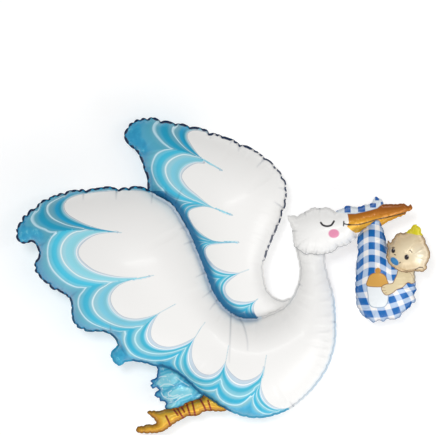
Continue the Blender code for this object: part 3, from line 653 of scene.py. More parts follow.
def bands(foil, lobes, rays, depths, lines, crossings, slack):
    """How far each point lies from the white of the feathers (0) to the rim (1), and its kind of blue."""
    flat, rim = foil.flat, foil.loop
    tree = tree_of(rim)
    starts = [tree.find((*ray[-1], 0))[1] for ray in rays]

    def stretch(a, b):
        way = [(a + k) % len(rim) for k in range((b - a) % len(rim) + 1)]
        other = [(a - k) % len(rim) for k in range((a - b) % len(rim) + 1)]
        return rim[way if len(way) < len(other) else other]

    whites = [open_curve(lobe, 60) for lobe in lobes]
    printed = np.zeros(len(flat), bool)
    deep, lower, fixed = np.zeros((3, len(flat)))
    for n, white in enumerate(whites):
        sector = np.vstack([open_curve(rays[n], 30)[::-1], white, open_curve(rays[n + 1], 30),
                            stretch(starts[n + 1], starts[n])])
        within = inside(flat, sector)
        deep[within] = depths[n]
        lower[within] = n >= FIRST_LOWER_LOBE
        printed |= within
    # A point on the edge of the seam is printed as the foil just inside it
    inner = np.flatnonzero(foil.edge >= 0.4)
    tree = tree_of(flat[inner])
    for n in np.flatnonzero(foil.edge < 0.4):
        near = inner[tree.find((*flat[n], 0))[1]]
        printed[n], deep[n], lower[n] = printed[near], deep[near], lower[near]
    gap = np.min([gap_to(flat, white) for white in whites], axis=0)
    free = printed & (gap > 0.12)
    at_rim = (foil.edge < RIM * 1.02) & printed
    fixed[at_rim] = 1 - 0.04 * foil.edge[at_rim] / RIM
    free[at_rim] = False
    off_print = at_rim & (slack >= 0)
    fixed[off_print] = slack[off_print]
    for n, ray in enumerate(rays[1:-1], 1):
        off, along, long = nearest_on(flat, open_curve(ray, 60))
        on = (off < 0.25) & ~at_rim
        b, c = crossings.get(n, (LINE_B, LINE_C))
        fixed[on] = np.interp(along[on] / long, (0, 0.05, b, c, 1), (0, 0.28, LINE_B, LINE_C, 1))
        free[on] = False
        printed[on] = True
    for level, points in lines:
        on = (gap_to(flat, open_curve(points, 60)) < 0.2) & ~at_rim
        fixed[on] = level
        free[on] = False
    band = foil.solved(free, fixed)
    return np.where(printed, band, np.where(gap < 0.05, 0.0, -0.02 * np.minimum(gap, 3))), deep, lower


def line_gap(foil, lines):
    """Distance to the nearest of these lines."""
    return np.min([gap_to(foil.flat, line) for line in lines], axis=0)


def colour(code):
    value = [int(code[k:k + 2], 16) / 255 for k in (1, 3, 5)]
    return tuple(c / 12.92 if c <= 0.04045 else ((c + 0.055) / 1.055) ** 2.4 for c in value) + (1.0,)


class Shader:
    """A foil material: printed colour with painted light and shade where marked, gloss, and the fine crinkle
    of foil near its seam.
    """

    def __init__(self, name, roughness, metallic, coat, crinkle, specular=0.5):
        self.material = bpy.data.materials.new(name)
        self.material.use_nodes = True
        tree = self.material.node_tree
        self.nodes, self.links = tree.nodes, tree.links
        self.surface = self.nodes["Principled BSDF"].inputs
        for key, number in (("Roughness", roughness), ("Metallic", metallic), ("Coat Weight", coat),
                            ("Coat Roughness", 0.12), ("Specular IOR Level", specular)):
            self.surface[key].default_value = number
        edge = self.value("edge")
        seam = self.node("ShaderNodeCombineXYZ", {0: self.value("round_x"), 1: self.value("round_y"),
                                                  2: self.times(edge, 0.05)})
        fade = self.ramp(self.times(edge, 1 / 30), [(0, 1), (0.35, 0.35), (1, 0)])
        streaks = self.times(self.noise(1, 3, seam.outputs[0]), fade)
        relief = self.math("ADD", streaks, self.times(self.noise(9, 2), 0.35))
        bump = self.node("ShaderNodeBump", {"Strength": crinkle, "Distance": 0.0022, "Height": relief})
        self.put(bump.outputs[0], self.surface["Normal"])

    def put(self, given, socket):
        """A number, a colour code or the output of a node goes into a socket."""
        if isinstance(given, str):
            socket.default_value = colour(given)
        elif isinstance(given, (int, float)):
            socket.default_value = given
        else:
            self.links.new(given, socket)

    def node(self, kind, inputs):
        node = self.nodes.new(kind)
        for key, given in inputs.items():
            self.put(given, node.inputs[key])
        return node

    def value(self, attribute):
        node = self.nodes.new("ShaderNodeAttribute")
        node.attribute_name = attribute
        return node.outputs["Fac"]

    def noise(self, scale, detail, place=None):
        if place is None:
            place = self.nodes.new("ShaderNodeTexCoord").outputs["Object"]
        return self.node("ShaderNodeTexNoise", {"Scale": scale, "Detail": detail, "Vector": place}).outputs[0]

    def math(self, operation, *terms):
        node = self.node("ShaderNodeMath", dict(enumerate(terms)))
        node.operation = operation
        return node.outputs[0]

    def times(self, product, *factors):
        for factor in factors:
            product = self.math("MULTIPLY", product, factor)
        return product

    def ramp(self, value, stops):
        """Colours along a value. A stop is a colour code, or a number for a grey."""
        node = self.node("ShaderNodeValToRGB", {0: value})
        band = node.color_ramp
        while len(band.elements) > 1:
            band.elements.remove(band.elements[-1])
        band.elements[0].position = stops[0][0]
        for n, (place, code) in enumerate(stops):
            stop = band.elements.new(place) if n else band.elements[0]
            stop.color = colour(code) if isinstance(code, str) else (code, code, code, 1)
        return node.outputs[0]

    def below(self, value, limit, soft):
        """1 where the value is under the limit, with a soft step."""
        step = {"From Min": limit - soft, "From Max": limit + soft, "To Min": 1, "To Max": 0}
        return self.node("ShaderNodeMapRange", {**step, "Value": value}).outputs["Result"]

    def mix(self, amount, under, over):
        node = self.nodes.new("ShaderNodeMix")
        node.data_type = "RGBA"
        for key, given in ((0, amount), (6, under), (7, over)):
            self.put(given, node.inputs[key])
        return node.outputs[2]

    def marked(self, tone, marks):
        """The tone with marks laid over it, each where its attribute is below a limit.

        A mark is the attribute, the limit, the softness of its edge, its colour and,
        where it isn't full, its strength. "around" marks both sides of a zero line.
        """
        for name, limit, soft, over, *strength in marks:
            value = self.value(name.removeprefix("around "))
            if name.startswith("around "):
                value = self.math("ABSOLUTE", value)
            tone = self.mix(self.times(self.below(value, limit, soft), *strength), tone, over)
        return tone

    def paint(self, result):
        self.put(result, self.surface["Base Color"])
        return self.material


# Blues from the white of the feathers (0) to the rim (1)
WHITE = "#F4F3F1"
LIGHT_BANDS = [
    (0, WHITE), (0.012, "#B4C0CE"), (0.04, "#D2DEE8"), (0.07, "#C8DAE6"), (0.086, "#FFFFFF"),
    (0.104, "#FFFFFF"), (0.122, "#C4E2F0"), (0.16, "#BAEAF6"), (0.185, "#A6E0EA"), (0.25, "#98E0EC"),
    (0.37, "#9CE4F1"), (0.4, "#AAE4F2"), (0.448, "#B0E0EC"), (0.463, "#F4FFFF"), (0.473, "#F4FFFF"),
    (0.488, "#B8E8F4"), (0.52, "#9EDCEC"), (0.556, "#8CDCF0"), (0.585, "#64D0EC"), (0.62, "#50D2F0"),
    (0.68, "#4ECCEA"), (0.715, "#74D6EE"), (0.755, "#80CEE2"), (0.772, "#D6F4FF"), (0.782, "#D6F4FF"),
    (0.797, "#94CEE0"), (0.825, "#74BED2"), (0.87, "#66B6D0"), (0.912, "#60AACA"), (0.945, "#4298C4"),
    (1, "#1A7CB0"),
]
DEEP_BANDS = [
    (0, WHITE), (0.014, "#98A4B2"), (0.04, "#CEDCE4"), (0.06, "#CEDCE4"), (0.085, "#A6C4D2"),
    (0.15, "#7CC6DA"), (0.195, "#38A2C0"), (0.23, "#1E98BC"), (0.3, "#14A0D0"), (0.345, "#22A4D0"),
    (0.385, "#56A8C4"), (0.42, "#6CACC2"), (0.447, "#74AEC0"), (0.463, "#CDEEF8"), (0.473, "#CDEEF8"),
    (0.49, "#7CB2C6"), (0.52, "#60A6BE"), (0.565, "#54AAC6"), (0.6, "#2CA0C0"), (0.63, "#18A0C6"),
    (0.67, "#18A0C6"), (0.7, "#28A0C8"), (0.725, "#4AACCC"), (0.755, "#62ACC2"), (0.772, "#BCE2F0"),
    (0.782, "#BCE2F0"), (0.798, "#66AEC4"), (0.84, "#52AAC4"), (0.9, "#52AACA"), (0.94, "#3A9EC8"),
    (1, "#1A88BA"),
]
LOWER_BANDS = [
    (0, WHITE), (0.013, "#AEBCCA"), (0.04, "#CAD8E4"), (0.12, "#C6D8E6"), (0.17, "#C0D6E2"),
    (0.188, "#FFFFFF"), (0.2, "#FFFFFF"), (0.225, "#BAD6E6"), (0.255, "#B0DCEC"), (0.275, "#90D4EC"),
    (0.3, "#56C0DC"), (0.325, "#38B6D4"), (0.37, "#3EB6D2"), (0.405, "#74C4DA"), (0.445, "#8CCEDE"),
    (0.463, "#CCF4FC"), (0.473, "#CCF4FC"), (0.492, "#94D0E0"), (0.555, "#80C8DC"), (0.6, "#54C0DE"),
    (0.635, "#30B8DA"), (0.7, "#36B8DC"), (0.75, "#7CCCE4"), (0.771, "#CEF2FC"), (0.782, "#CEF2FC"),
    (0.8, "#98CCD8"), (0.835, "#7AC4D8"), (0.87, "#54BAE0"), (0.91, "#36ACD4"), (0.96, "#42A8CC"),
    (1, "#5AA6C8"),
]
# The brightest patches of the rim, in their own blues, mottled with painted glints
VIVID = [(0, "#187EB0"), (0.45, "#2298C4"), (0.60, "#36ACD2"), (0.66, "#70CAE2"), (0.70, "#36ACD2"),
         (1, "#2298C4")]


def feathers(name, navy_reach):
    s = Shader(name, 0.4, 0.05, 0.2, 0.5, 0.35)
    edge, pucker, dashed = (s.value(key) for key in ("edge", "pucker", "dashed"))
    band = s.math("MAXIMUM", s.value("band"), 0)
    blue = s.mix(s.value("deep"), s.ramp(band, LIGHT_BANDS), s.ramp(band, DEEP_BANDS))
    blue = s.mix(s.value("lower"), blue, s.ramp(band, LOWER_BANDS))
    blue = s.mix(s.times(s.value("vivid"), 0.75), blue, s.ramp(s.noise(45, 3), VIVID))
    # The seam is navy between its puckers, and thinner where the print is dashed. The navy is partly the
    # printed rim and partly painted shade, darkest along the upper edges.
    reach = s.math("ADD", s.times(pucker, 0.8), 0.3)
    reach = s.math("MINIMUM", reach, s.math("SUBTRACT", navy_reach, s.times(dashed, 1.15)))
    navy = s.below(s.math("SUBTRACT", edge, reach), 0, 0.35)
    unbroken = s.math("SUBTRACT", 1, s.times(s.below(pucker, 1, 0.3), dashed))
    # Painted shade: a grey line in the fold where the dome meets the flat seam, on the white foil only
    seam_shade_line = s.below(s.math("ABSOLUTE", s.math("SUBTRACT", edge, RIM)), 0.3, 0.35)
    shadow = s.ramp(s.times(s.value("under"), 0.1), [(0, 1), (0.45, 0.9), (0.75, 0.3), (1, 0)])
    for amount, code in (
        (s.times(s.below(s.value("cusp"), 0.35, 0.4), s.below(band, 0.16, 0.1)), "#A2C8D6"),
        # Painted light: a pale blue on the body's rim that lifts its shade by the far wing and at the breast
        (s.times(s.value("painted_rim_light"), s.below(edge, 2.6, 2)), "#C4E0F4"),
        (s.times(seam_shade_line, 0.45, s.value("seam_fold_shade")), "#8E959E"),
        (s.times(navy, unbroken, s.value("navy")), "#0E2A50"),
        (s.times(shadow, s.below(s.value("white"), 0.5, 0.45)), "#1F6E9C"),
        # Painted shade in the folds and deep puckers
        (s.times(s.value("fold"), 0.5), "#24486E"),
        # Painted shade: the neck is greyed
        (s.value("painted_neck_shade"), "#D2D2D0"),
    ):
        blue = s.mix(amount, blue, code)
    return s.paint(blue)


# Skins: name, outline, mesh spacing, fullness, seam plane (height, slopes), random seed, pucker pitch
FINE, DETAIL = ((1.2, 0.75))
body = Foil("body_and_near_wing", BODY_OUTLINE, FINE, 1.02, (0.0990, -0.0642, 0.0354), 3, 8.2,
            NEAR_LOBES + NEAR_RAYS[1:-1] + [line for _, line in NEAR_LINES])
wing = Foil("far_wing", FAR_WING_OUTLINE, FINE, 0.95, (0.0810, 0, 0), 5, 8.6,
            FAR_LOBES + FAR_RAYS[1:-1] + [line for _, line in FAR_LINES])
tail = Foil("tail", TAIL_OUTLINE, 0.9, 0.95, (0.0780, 0, 0), 7, 4.5)
leg = Foil("leg_and_foot", LEG_OUTLINE, 0.8, 1.3, (0.0834, 0, 0), 11, 5.5)
head = Foil("head_and_beak", HEAD_OUTLINE, DETAIL, 1.25, (0.1220, 0, 0), 13, 5.2)
bundle = Foil("bundle", BUNDLE_OUTLINE, DETAIL, 1.15, (0.1091, 0, 0.12), 17, 7.5)
baby = Foil("baby_head", BABY_OUTLINE, DETAIL, 1.3, (0.1401, 0, 0), 19, 5.5)

body_groove, wing_groove = body.crease(NEAR_CREASES), wing.crease(FAR_CREASES)
head_groove = head.crease(HEAD_CREASES)
surfaces = {foil.name: foil.heights() for foil in (tail, leg, bundle, baby)}
surfaces["head_and_beak"] = head.heights(groove=head_groove)
surfaces["body_and_near_wing"] = body.heights(0.09, 0.06, body_groove)
surfaces["far_wing"] = wing.heights(0.10, 0.06, wing_groove)


def press(piece, other, under):
    """Keeps a chamber clear of another one, which lies under it or over it."""
    near, far, sign = (2, 1, 1) if under else (1, 2, -1)
    there = np.flatnonzero(inside(piece.flat, other.loop))
    limit = sign * sampled(other, surfaces[other.name][far], piece.flat[there]) + GAP
    pressed, kept = surfaces[piece.name][near], surfaces[piece.name][far]
    pressed[there] = sign * np.maximum(sign * pressed[there], limit)
    kept[there] = sign * np.maximum(sign * kept[there], sign * pressed[there] + THINNEST)


for piece, other, under in ((wing, body, False), (tail, body, False), (leg, tail, True), (leg, body, False),
                            (head, body, True), (bundle, head, True), (baby, bundle, True)):
    press(piece, other, under)


# Wings: feathers in bands of blue, with a navy seam that is partly print and partly painted shade
def feather_fields(foil, lobes, rays, depths, lines, crossings, cusps, navy, dashed, groove, slack):
    band, deep, lower = bands(foil, lobes, rays, depths, lines, crossings, slack)
    white = (band < 0.01) * 1.0
    return {"band": band, "deep": deep, "lower": lower, "cusp": line_gap(foil, cusps),
            "painted_rim_light": np.zeros(len(band)), "seam_fold_shade": white, "white": white, "navy": navy, "dashed": dashed,
            # Painted shade follows the folds and the deepest pucker valleys near the seam
            "fold": np.maximum(groove, np.clip((foil.valley - 0.6) * 1.2, 0, 1) * (foil.edge > RIM * 0.7))}


def patches(foil, spots):
    """Softly edged ovals: x, y, and the two radii of each."""
    x, y = foil.flat.T
    return np.max([np.clip(1.3 - np.hypot((x - cx) / rx, (y - cy) / ry), 0, 0.3) / 0.3
                   for cx, cy, rx, ry in spots], axis=0)


def grown(values, start, length):
    """0 up to the start, and 1 from the length after it."""
    return np.clip((values - start) / length, 0, 1)


FAR_OFF = 99.0
x, y = body.flat.T
outer = ((y < 300) & (x < 160) | (x < 130) & (y < 345)) & ~((x > 150) & (y > 192))
over_tail = (x > 132) & (x < 232) & (y > 356)
by_wing = (x > 150) & (x < 262) & (y > 190) & (y < 330)
# The navy along the seam is partly painted shade: full on the upper outer edges, weaker lower down, and a
# thin painted shade line where the body lies over the tail
body_fields = feather_fields(
    body, NEAR_LOBES, NEAR_RAYS, NEAR_DEPTHS, NEAR_LINES, NEAR_CROSSINGS, CUSP_LINES_NEAR,
    np.maximum(np.where(y > 300, 0.65, 1.0) * outer, 0.6 * over_tail), over_tail * 1.2, body_groove,
    np.where((y < 212) & (x > 28), np.interp(x, *zip(*NEAR_UPPER_RIM)), -1.0))
# Painted shadow along the body's edge where it lies over the tail
body_fields["under"] = np.where(over_tail, body.edge * 3.2, FAR_OFF)
# Painted light on the body's rim by the far wing and at the breast
body_fields["painted_rim_light"] = np.where(by_wing, 0.6, grown(x, 285, 30) * grown(y, 285, 20) * 0.8)
# Painted shade over the neck
body_fields["painted_neck_shade"] = 0.24 * grown(x, 288, 10) * grown(-y, -296, 24)
body_fields["seam_fold_shade"] = body_fields["seam_fold_shade"] * ((x > 262) | (y > 330))
body_fields["vivid"] = patches(body, [(117, 356, 9, 12), (28, 236, 14, 8), (133, 364, 14, 5),
                                      (158, 367, 12, 5), (20, 226, 5, 12), (76, 331, 14, 4),
                                      (100, 333, 18, 3.5)])
make_piece(body, body_fields, feathers("near_wing_foil", 2.4))

x, y = wing.flat.T
wing_fields = feather_fields(
    wing, FAR_LOBES, FAR_RAYS, FAR_DEPTHS, FAR_LINES, FAR_CROSSINGS, CUSP_LINES_FAR,
    np.where((x > 250) & (y > 224), 0.85, 1.0) * ((y < 261) | (x < 240)),
    np.where(y > 224, 0.45, 1.0) * ((x > 250) & (y > 150)), wing_groove,
    np.where((y < 136) & (x > 138), np.interp(x, *zip(*FAR_UPPER_RIM)), -1.0))
# Painted shadow on the far wing along the body's edge
wing_fields["under"] = np.where((x < 262) & (y > 190), gap_to(wing.flat, body.loop, True), FAR_OFF)
wing_fields["painted_neck_shade"] = np.zeros(len(wing.flat))
wing_fields["vivid"] = patches(wing, [(131, 134, 9, 13), (140, 148, 6, 9), (147, 185, 5, 16),
                                      (158, 201, 14, 8)])
make_piece(wing, wing_fields, feathers("far_wing_foil", 2.7))

# Tail: small overlapping feathers, each an oval (x, y, radii, turn) with rings of pale and deep blue
TAIL_FEATHERS = [(168, 380, 17, 9, 0.3), (181, 393, 17, 8, 0.25), (168, 404, 12, 6, 0.2)]
TAIL_LINES = [
    [(155, 382), (157, 378.6), (161, 376.6), (166, 376.4)],
    [(160, 387), (164, 384.2), (169, 384), (174, 385.6)],
    [(162.4, 388), (161, 392), (163, 396.4), (168, 399), (174, 398.6), (180, 395.4)],
    [(171.5, 390.4), (168.2, 392.8), (168.6, 395.6), (173, 396.4), (178, 394.6)],
    [(175, 402), (180, 398), (186, 395.4), (192, 394)], [(176, 377), (182, 381.6), (189, 386)],
    [(165, 406), (168, 403), (172, 402)],
]
TAIL_SHADES = [
    [(167, 391), (171, 387.4), (176, 385), (182, 384.4), (189, 386.4)],
    [(157, 390), (160, 393.6), (160.6, 398)], [(166, 402.4), (171, 402.8), (176, 400)],
    [(158, 372), (160, 377), (156, 381)], [(188, 404), (192, 398), (198, 394)],
]


def oval(x, y, cx, cy, rx, ry, turn=0.0):
    """How far out each point lies in an oval: 1 on its edge."""
    u = (x - cx) * math.cos(turn) - (y - cy) * math.sin(turn)
    v = (x - cx) * math.sin(turn) + (y - cy) * math.cos(turn)
    return np.hypot(u / rx, v / ry)


s = Shader("tail_foil", 0.28, 0.2, 0.5, 1)
wisps = s.noise(70, 4)
wavy = s.math("ADD", s.times(s.value("ring"), 0.5), s.times(s.math("SUBTRACT", wisps, 0.5), 0.1))
tone = s.ramp(wavy, [(0, "#7CD0E4"), (0.3, "#98DEEA"), (0.38, "#4CBCD8"), (0.48, "#78CCE2"),
                     (0.56, "#34AACE"), (0.66, "#66C6DE"), (0.8, "#44B2D4"), (1, "#5CC2DC")])
tone = s.mix(s.ramp(wisps, [(0, 0), (0.58, 0), (0.64, 0.35), (0.69, 0), (1, 0)]), tone, "#F2FCFF")
tone = s.marked(tone, [("shades", 1.3, 1, "#2E9CC6", 0.75), ("lines", 0.35, 0.4, "#F2FCFF", 0.9),
                       ("edge", 2.6, 1.4, "#1E88BE"), ("edge", 1.1, 0.5, "#165C98")])
make_piece(tail, {"ring": np.minimum.reduce([oval(*tail.flat.T, *feather) for feather in TAIL_FEATHERS]),
                  "lines": line_gap(tail, TAIL_LINES), "shades": line_gap(tail, TAIL_SHADES)},
           s.paint(tone))

# Leg: gold with red-brown rings
LEG_RINGS = [
    [(166, 416), (168, 420), (170, 425)], [(177, 408), (180, 413), (184, 419)],
    [(181, 406.4), (184.4, 412)], [(186.5, 403.5), (190, 415)], [(192, 401), (194.6, 412), (195, 415)],
    [(200, 399), (204, 406), (206, 411)], [(208, 400.5), (211, 410)], [(174, 410), (178, 415)],
]
s = Shader("gold_foil", 0.2, 0.45, 0.6, 0.9)
# The gold is darker at the edges and brighter in the middle: painted shade and highlight
tone = s.ramp(s.times(s.value("edge"), 0.12), [(0, "#8A5606"), (0.22, "#CC8C14"), (0.55, "#F2B62A"),
                                               (1, "#FFD250")])
tone = s.marked(tone, [("rings", 0.95, 0.5, "#96260A")])
make_piece(leg, {"rings": line_gap(leg, LEG_RINGS)}, s.paint(tone))

# Head: white, with gold beak, checked knot, closed eye, cheek and mouth
BEAK = [
    (347.4, 213.9), (355.3, 213.9), (364.5, 211.8), (370.6, 210.3), (377.2, 208.3), (380.8, 205.2),
    (384, 202.6), (398, 200), (416, 200), (416, 214), (404, 220), (384, 230), (372, 232), (362, 235),
    (356.8, 233.6), (352.8, 231.5), (350.2, 229.7), (346.8, 226.6), (348.6, 222),
]
KNOT = [
    (335.2, 211), (338, 207), (346, 200), (372, 192), (386, 196), (384, 203.9), (380.8, 205.2),
    (377.2, 208.3), (370.6, 210.3), (364.5, 211.8), (355.3, 213.9), (347, 214), (341, 213),
    (335.6, 212.4),
]
MOUTH = [
    (345.3, 224), (349, 224.8), (357.9, 224.6), (365.5, 222.8), (371.6, 221), (376.7, 219.5),
    (386, 217.4), (396, 215.2), (405.3, 212.6),
]
MOUTH_TICKS = [[(343.6, 221.4), (343.3, 225.8)], [(343.8, 223.6), (346, 224.3), (350, 224.8)]]
EYE = [(320.6, 222.6), (322.6, 225), (325.9, 226.1), (329, 225.9), (331.4, 224.8), (333.8, 221.2)]
CHECKS = [
    (347.4, 209.2, 3.1, 3.4), (361.4, 208.4, 3.6, 3.6), (372.8, 205.4, 3.1, 2.2), (377, 198.4, 2, 2.1),
    (381.8, 203.2, 1.2, 1.3), (337, 210.8, 1.2, 0.7),
]
flat = head.flat
x, y = flat.T
head_fields = {
    "beak": signed(flat, BEAK), "knot": signed(flat, KNOT), "cheek": oval(x, y, 333.6, 233.5, 5.6, 4.6),
    "checks": np.min([np.maximum(np.abs(x - cx) - rx, np.abs(y - cy) - ry)
                      for cx, cy, rx, ry in CHECKS], axis=0),
    "mouth": gap_to(flat, open_curve(MOUTH, 60)), "tick": line_gap(head, MOUTH_TICKS),
    "eye": gap_to(flat, open_curve(EYE, 30)), "edge_strength": np.clip((y - 240) / 12, 0.12, 0.6),
    "upper": np.clip((232 - y - 0.12 * (x - 350)) / 22, 0, 1), "fold": head_groove}
s = Shader("head_foil", 0.3, 0.08, 0.4, 0.8)
# The gold darkens towards the top of the beak
gold = s.ramp(s.value("upper"), [(0, "#F0B834"), (0.35, "#EEAC22"), (0.6, "#C67A06"), (0.8, "#B46604"),
                                 (1, "#A85A04")])
gold = s.marked(gold, [("mouth", 0.6, 0.4, "#33200F")])
cloth = s.marked("#E8F0F6", [("checks", 0, 0.3, "#0560B4"), ("around beak", 0.35, 0.3, "#5E7FA0")])
# The dark edge grows stronger towards the bottom of the head
# The head's white is a touch brighter than the body's: painted light
tone = s.marked("#F7F6F4", [("cheek", 0.96, 0.12, "#E68EB0"), ("beak", 0, 0.25, gold),
                            ("knot", 0, 0.25, cloth), ("edge", 0.8, 0.6, "#5A6068", s.value("edge_strength"))])
# Painted shade in the head's creases
tone = s.mix(s.times(s.value("fold"), 0.5), tone, "#4A5260")
dark = s.math("MAXIMUM", s.below(s.value("eye"), 0.95, 0.3), s.below(s.value("tick"), 0.65, 0.3))
tone = s.mix(dark, tone, "#1B1820")
s.put(s.times(s.below(s.value("beak"), 0, 0.25), 0.3), s.surface["Metallic"])
make_piece(head, head_fields, s.paint(tone))

# Bundle: checks that follow the sling, a bottle and the baby's arm
CAP = [
    (367.6, 286), (367.8, 279), (370, 275), (374, 273), (380, 273), (384.6, 275.4), (386.6, 279.6),
    (386.8, 286),
]
BOTTLE = [
    (368.4, 284), (387.7, 284), (388, 296), (387, 303), (383, 307), (373, 307), (369.2, 303.6),
    (368, 296),
]
ARM = [
    (382, 286), (386, 284), (392.1, 283.2), (394.4, 279.1), (396.6, 274.6), (399, 269), (410, 264),
    (418, 266), (418, 279), (415.6, 282), (411.4, 283.6), (407.4, 282.6), (402.1, 287.4), (396.4, 289.5),
    (392.9, 292.4), (388, 294.8), (384.6, 294.4), (382.2, 291.4), (381.2, 288.4),
]
FINGERS = [[(381.4, 287.2), (384.6, 287.6)], [(382, 290.4), (385.4, 290.4)],
           [(384, 293.2), (386.6, 292.6)], [(408.6, 271), (411.6, 275), (415, 282)]]
flat = bundle.flat
x, y = flat.T
# The checks run level at the knot and hang with the sling lower down
fall = np.clip((y - 266) / 34, 0, 1)
fall = fall * fall * (3 - 2 * fall)
arch = np.where(x < 371, 0.045, 0.022) * (x - 371) ** 2
right = np.maximum(x - 382, 0)
across = (1 - fall) * (x - 360.2) / 11.3 + fall * (x - 364 - (y - 303) * 0.39) / 14.6
down = ((1 - fall) * (y - 233 - np.minimum(arch, 8)) / 12.6
        + fall * (6 + (y - 314 + 0.15 * right + 0.006 * right ** 2) / 12.6))
bundle_fields = {
    "across": across, "down": down, "cap": signed(flat, shape_of(CAP)),
    "bottle": signed(flat, shape_of(BOTTLE)), "arm": signed(flat, shape_of(ARM)),
    "teat": np.hypot(x - 377.6, y - 270.6) - 3, "fingers": line_gap(bundle, FINGERS)}
s = Shader("bundle_foil", 0.32, 0.1, 0.15, 0.9, 0.35)
one, two = (s.below(s.math("PINGPONG", s.math("ADD", s.value(way), 100), 0.5), 0.285, 0.03)
            for way in ("across", "down"))
tone = s.mix(s.math("MAXIMUM", one, two), "#F8F4F2", "#B8CCE6")
tone = s.mix(s.times(one, two), tone, "#0066B4")
tone = s.marked(tone, [
    ("bottle", 0, 0.3, "#EEF3F6"), ("around bottle", 0.4, 0.3, "#9DB0C4"), ("cap", 0, 0.3, "#D9A44E"),
    ("around cap", 0.3, 0.3, "#8A5A28"), ("teat", 0, 0.4, "#CC8F3A"), ("arm", 0, 0.3, "#E2D1AA"),
    ("around arm", 0.35, 0.3, "#8A5F40"), ("fingers", 0.3, 0.3, "#8A5F40", 0.8),
    ("edge", 1.1, 0.7, "#1E5590", 0.55)])
make_piece(bundle, bundle_fields, s.paint(tone))

# Baby's head: beige, with a yellow tuft, two small eyes and a soother
HAIR = [
    (405.6, 231.8), (408.4, 229), (411.2, 226), (413.7, 221), (425, 221), (425, 235.6), (422.1, 235.4),
    (415.7, 234.9), (411.4, 233.8), (407.1, 233.4),
]
FACE_LINES = [[(409.4, 250), (410.4, 250.9), (411.5, 252.4)], [(393.9, 254.3), (395.2, 254.9)],
              [(391.6, 247.9), (392.8, 247.2), (394, 247.5)], [(399, 263), (400.2, 262.2)],
              [(416.6, 268.6), (419.4, 267.2), (422.4, 267.4), (423.6, 269.4)],
              [(401, 271.2), (407, 271), (413.6, 270.4), (416.6, 268.6)]]
x, y = baby.flat.T
baby_fields = {
    "hair": signed(baby.flat, HAIR), "eye_one": oval(x, y, 392.9, 250.6, 1.9, 2.5),
    "eye_two": oval(x, y, 406.2, 257.1, 2.3, 2.7),
    "shine": np.minimum(np.hypot(x - 393.5, y - 249.3), np.hypot(x - 407.6, y - 255.8)),
    "soother": oval(x, y, 394.2, 261.2, 5, 3, math.radians(-45)), "lines": line_gap(baby, FACE_LINES),
    "glow": oval(x, y, 420, 256, 6.5, 10)}
s = Shader("baby_foil", 0.27, 0.2, 0.5, 0.8)
# The beige darkens towards the edge of the head: painted shade
tone = s.ramp(s.times(s.value("edge"), 1 / 14), [(0, "#C6A67C"), (0.2, "#E6CEA6"), (1, "#F2E0BC")])
# A pale cream oval on the right of the head is a painted highlight
tone = s.marked(tone, [
    ("glow", 0.8, 0.7, "#FFF3D8"), ("edge", 0.8, 0.5, "#96744E"), ("lines", 0.5, 0.3, "#4A372A"),
    ("eye_one", 1, 0.15, "#231C22"), ("eye_two", 1, 0.15, "#231C22"), ("shine", 0.6, 0.4, "#C9C2BE"),
    ("soother", 1, 0.12, "#2D86C4"), ("hair", 0, 0.4, "#F2E322")])
make_piece(baby, baby_fields, s.paint(tone))


# Floor, light and camera
def placed(name, data):
    item = bpy.data.objects.new(name, data)
    bpy.context.scene.collection.objects.link(item)
    return item


def aim(item, direction):
    item.rotation_mode = "QUATERNION"
    item.rotation_quaternion = Vector(direction).to_track_quat("-Z", "Y")


HALF_FLOOR, FLOOR_TOP = 9, -0.001
corners = [(HALF_FLOOR * x, HALF_FLOOR * y, FLOOR_TOP) for x, y in ((-1, -1), (1, -1), (1, 1), (-1, 1))]
floor_mesh = bpy.data.meshes.new("floor")
floor_mesh.from_pydata(corners, [], [(0, 1, 2, 3)])
floor = placed("floor", floor_mesh)
floor_paint = bpy.data.materials.new("floor_paint")
floor_paint.use_nodes = True
floor_surface = floor_paint.node_tree.nodes["Principled BSDF"].inputs
floor_surface["Base Color"].default_value = (0.7, 0.7, 0.7, 1)
floor_surface["Roughness"].default_value = 0.9
floor_surface["Emission Color"].default_value = (1, 1, 1, 1)
floor_surface["Emission Strength"].default_value = 0.40
floor_mesh.materials.append(floor_paint)

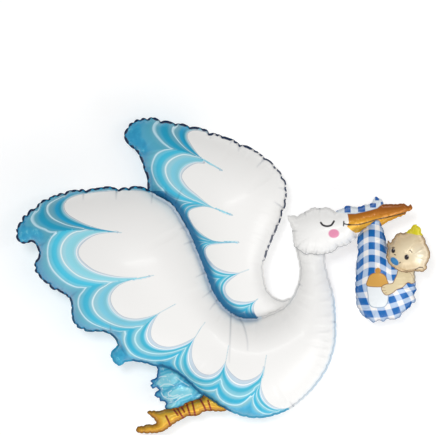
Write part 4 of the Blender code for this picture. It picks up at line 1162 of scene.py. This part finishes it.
# The sky is brighter towards the bottom of the photograph
SKY_STRENGTH, SKY_BOTTOM, SKY_TOP, SKY_REACH = 0.53, 1.15, 0.62, 0.9
world = bpy.data.worlds.new("studio")
bpy.context.scene.world = world
world.use_nodes = True
nodes, links = world.node_tree.nodes, world.node_tree.links
sky = nodes["Background"]
sky.inputs["Strength"].default_value = SKY_STRENGTH
way = nodes.new("ShaderNodeSeparateXYZ")
links.new(nodes.new("ShaderNodeTexCoord").outputs["Generated"], way.inputs[0])
shade = nodes.new("ShaderNodeMapRange")
for key, number in (("From Min", -SKY_REACH), ("From Max", SKY_REACH), ("To Min", SKY_BOTTOM),
                    ("To Max", SKY_TOP)):
    shade.inputs[key].default_value = number
links.new(way.outputs[1], shade.inputs["Value"])
links.new(shade.outputs["Result"], sky.inputs["Color"])

# Lamps: name, place, aim, width, height and power
for name, place, target, width, height, power in (
    ("side_softbox", (2.3, -1.5, 1.8), (0, -0.1, 0.1), 2.4, 1.4, 24),
    ("front_softbox", (-0.2, -2.6, 1.9), (0, -0.1, 0.1), 2.4, 1.2, 8),
    ("strip", (0.7, 0.3, 3.0), (0, 0.0, 0.1), 0.12, 1.7, 8),
):
    light = bpy.data.lights.new(name, "AREA")
    light.shape = "RECTANGLE"
    light.size, light.size_y = width, height
    light.energy = power
    lamp = placed(name, light)
    lamp.location = place
    lamp.visible_camera = False
    aim(lamp, Vector(target) - Vector(place))
sun = bpy.data.lights.new("key", "SUN")
sun.energy = 0.92
sun.angle = math.radians(13)
key_light = placed("key", sun)
key_light.visible_glossy = False
aim(key_light, (0.17, -0.19, -1))

# A long lens far above the balloon, so that the view is as flat as the photograph's
LENS, SENSOR = 900, 36
FRAME_WIDTH, SEAM_HEIGHT = 444 * UNIT, 0.10
camera_data = bpy.data.cameras.new("camera")
camera_data.lens = LENS
camera_data.clip_end = 50
camera_data.sensor_width = SENSOR
camera = placed("camera", camera_data)
camera.location = (-1.0 * UNIT, 57.5 * UNIT, SEAM_HEIGHT + FRAME_WIDTH * LENS / SENSOR)
camera.rotation_euler = (0, 0, 0)
bpy.context.scene.camera = camera
bpy.context.scene.view_settings.view_transform = "Standard"
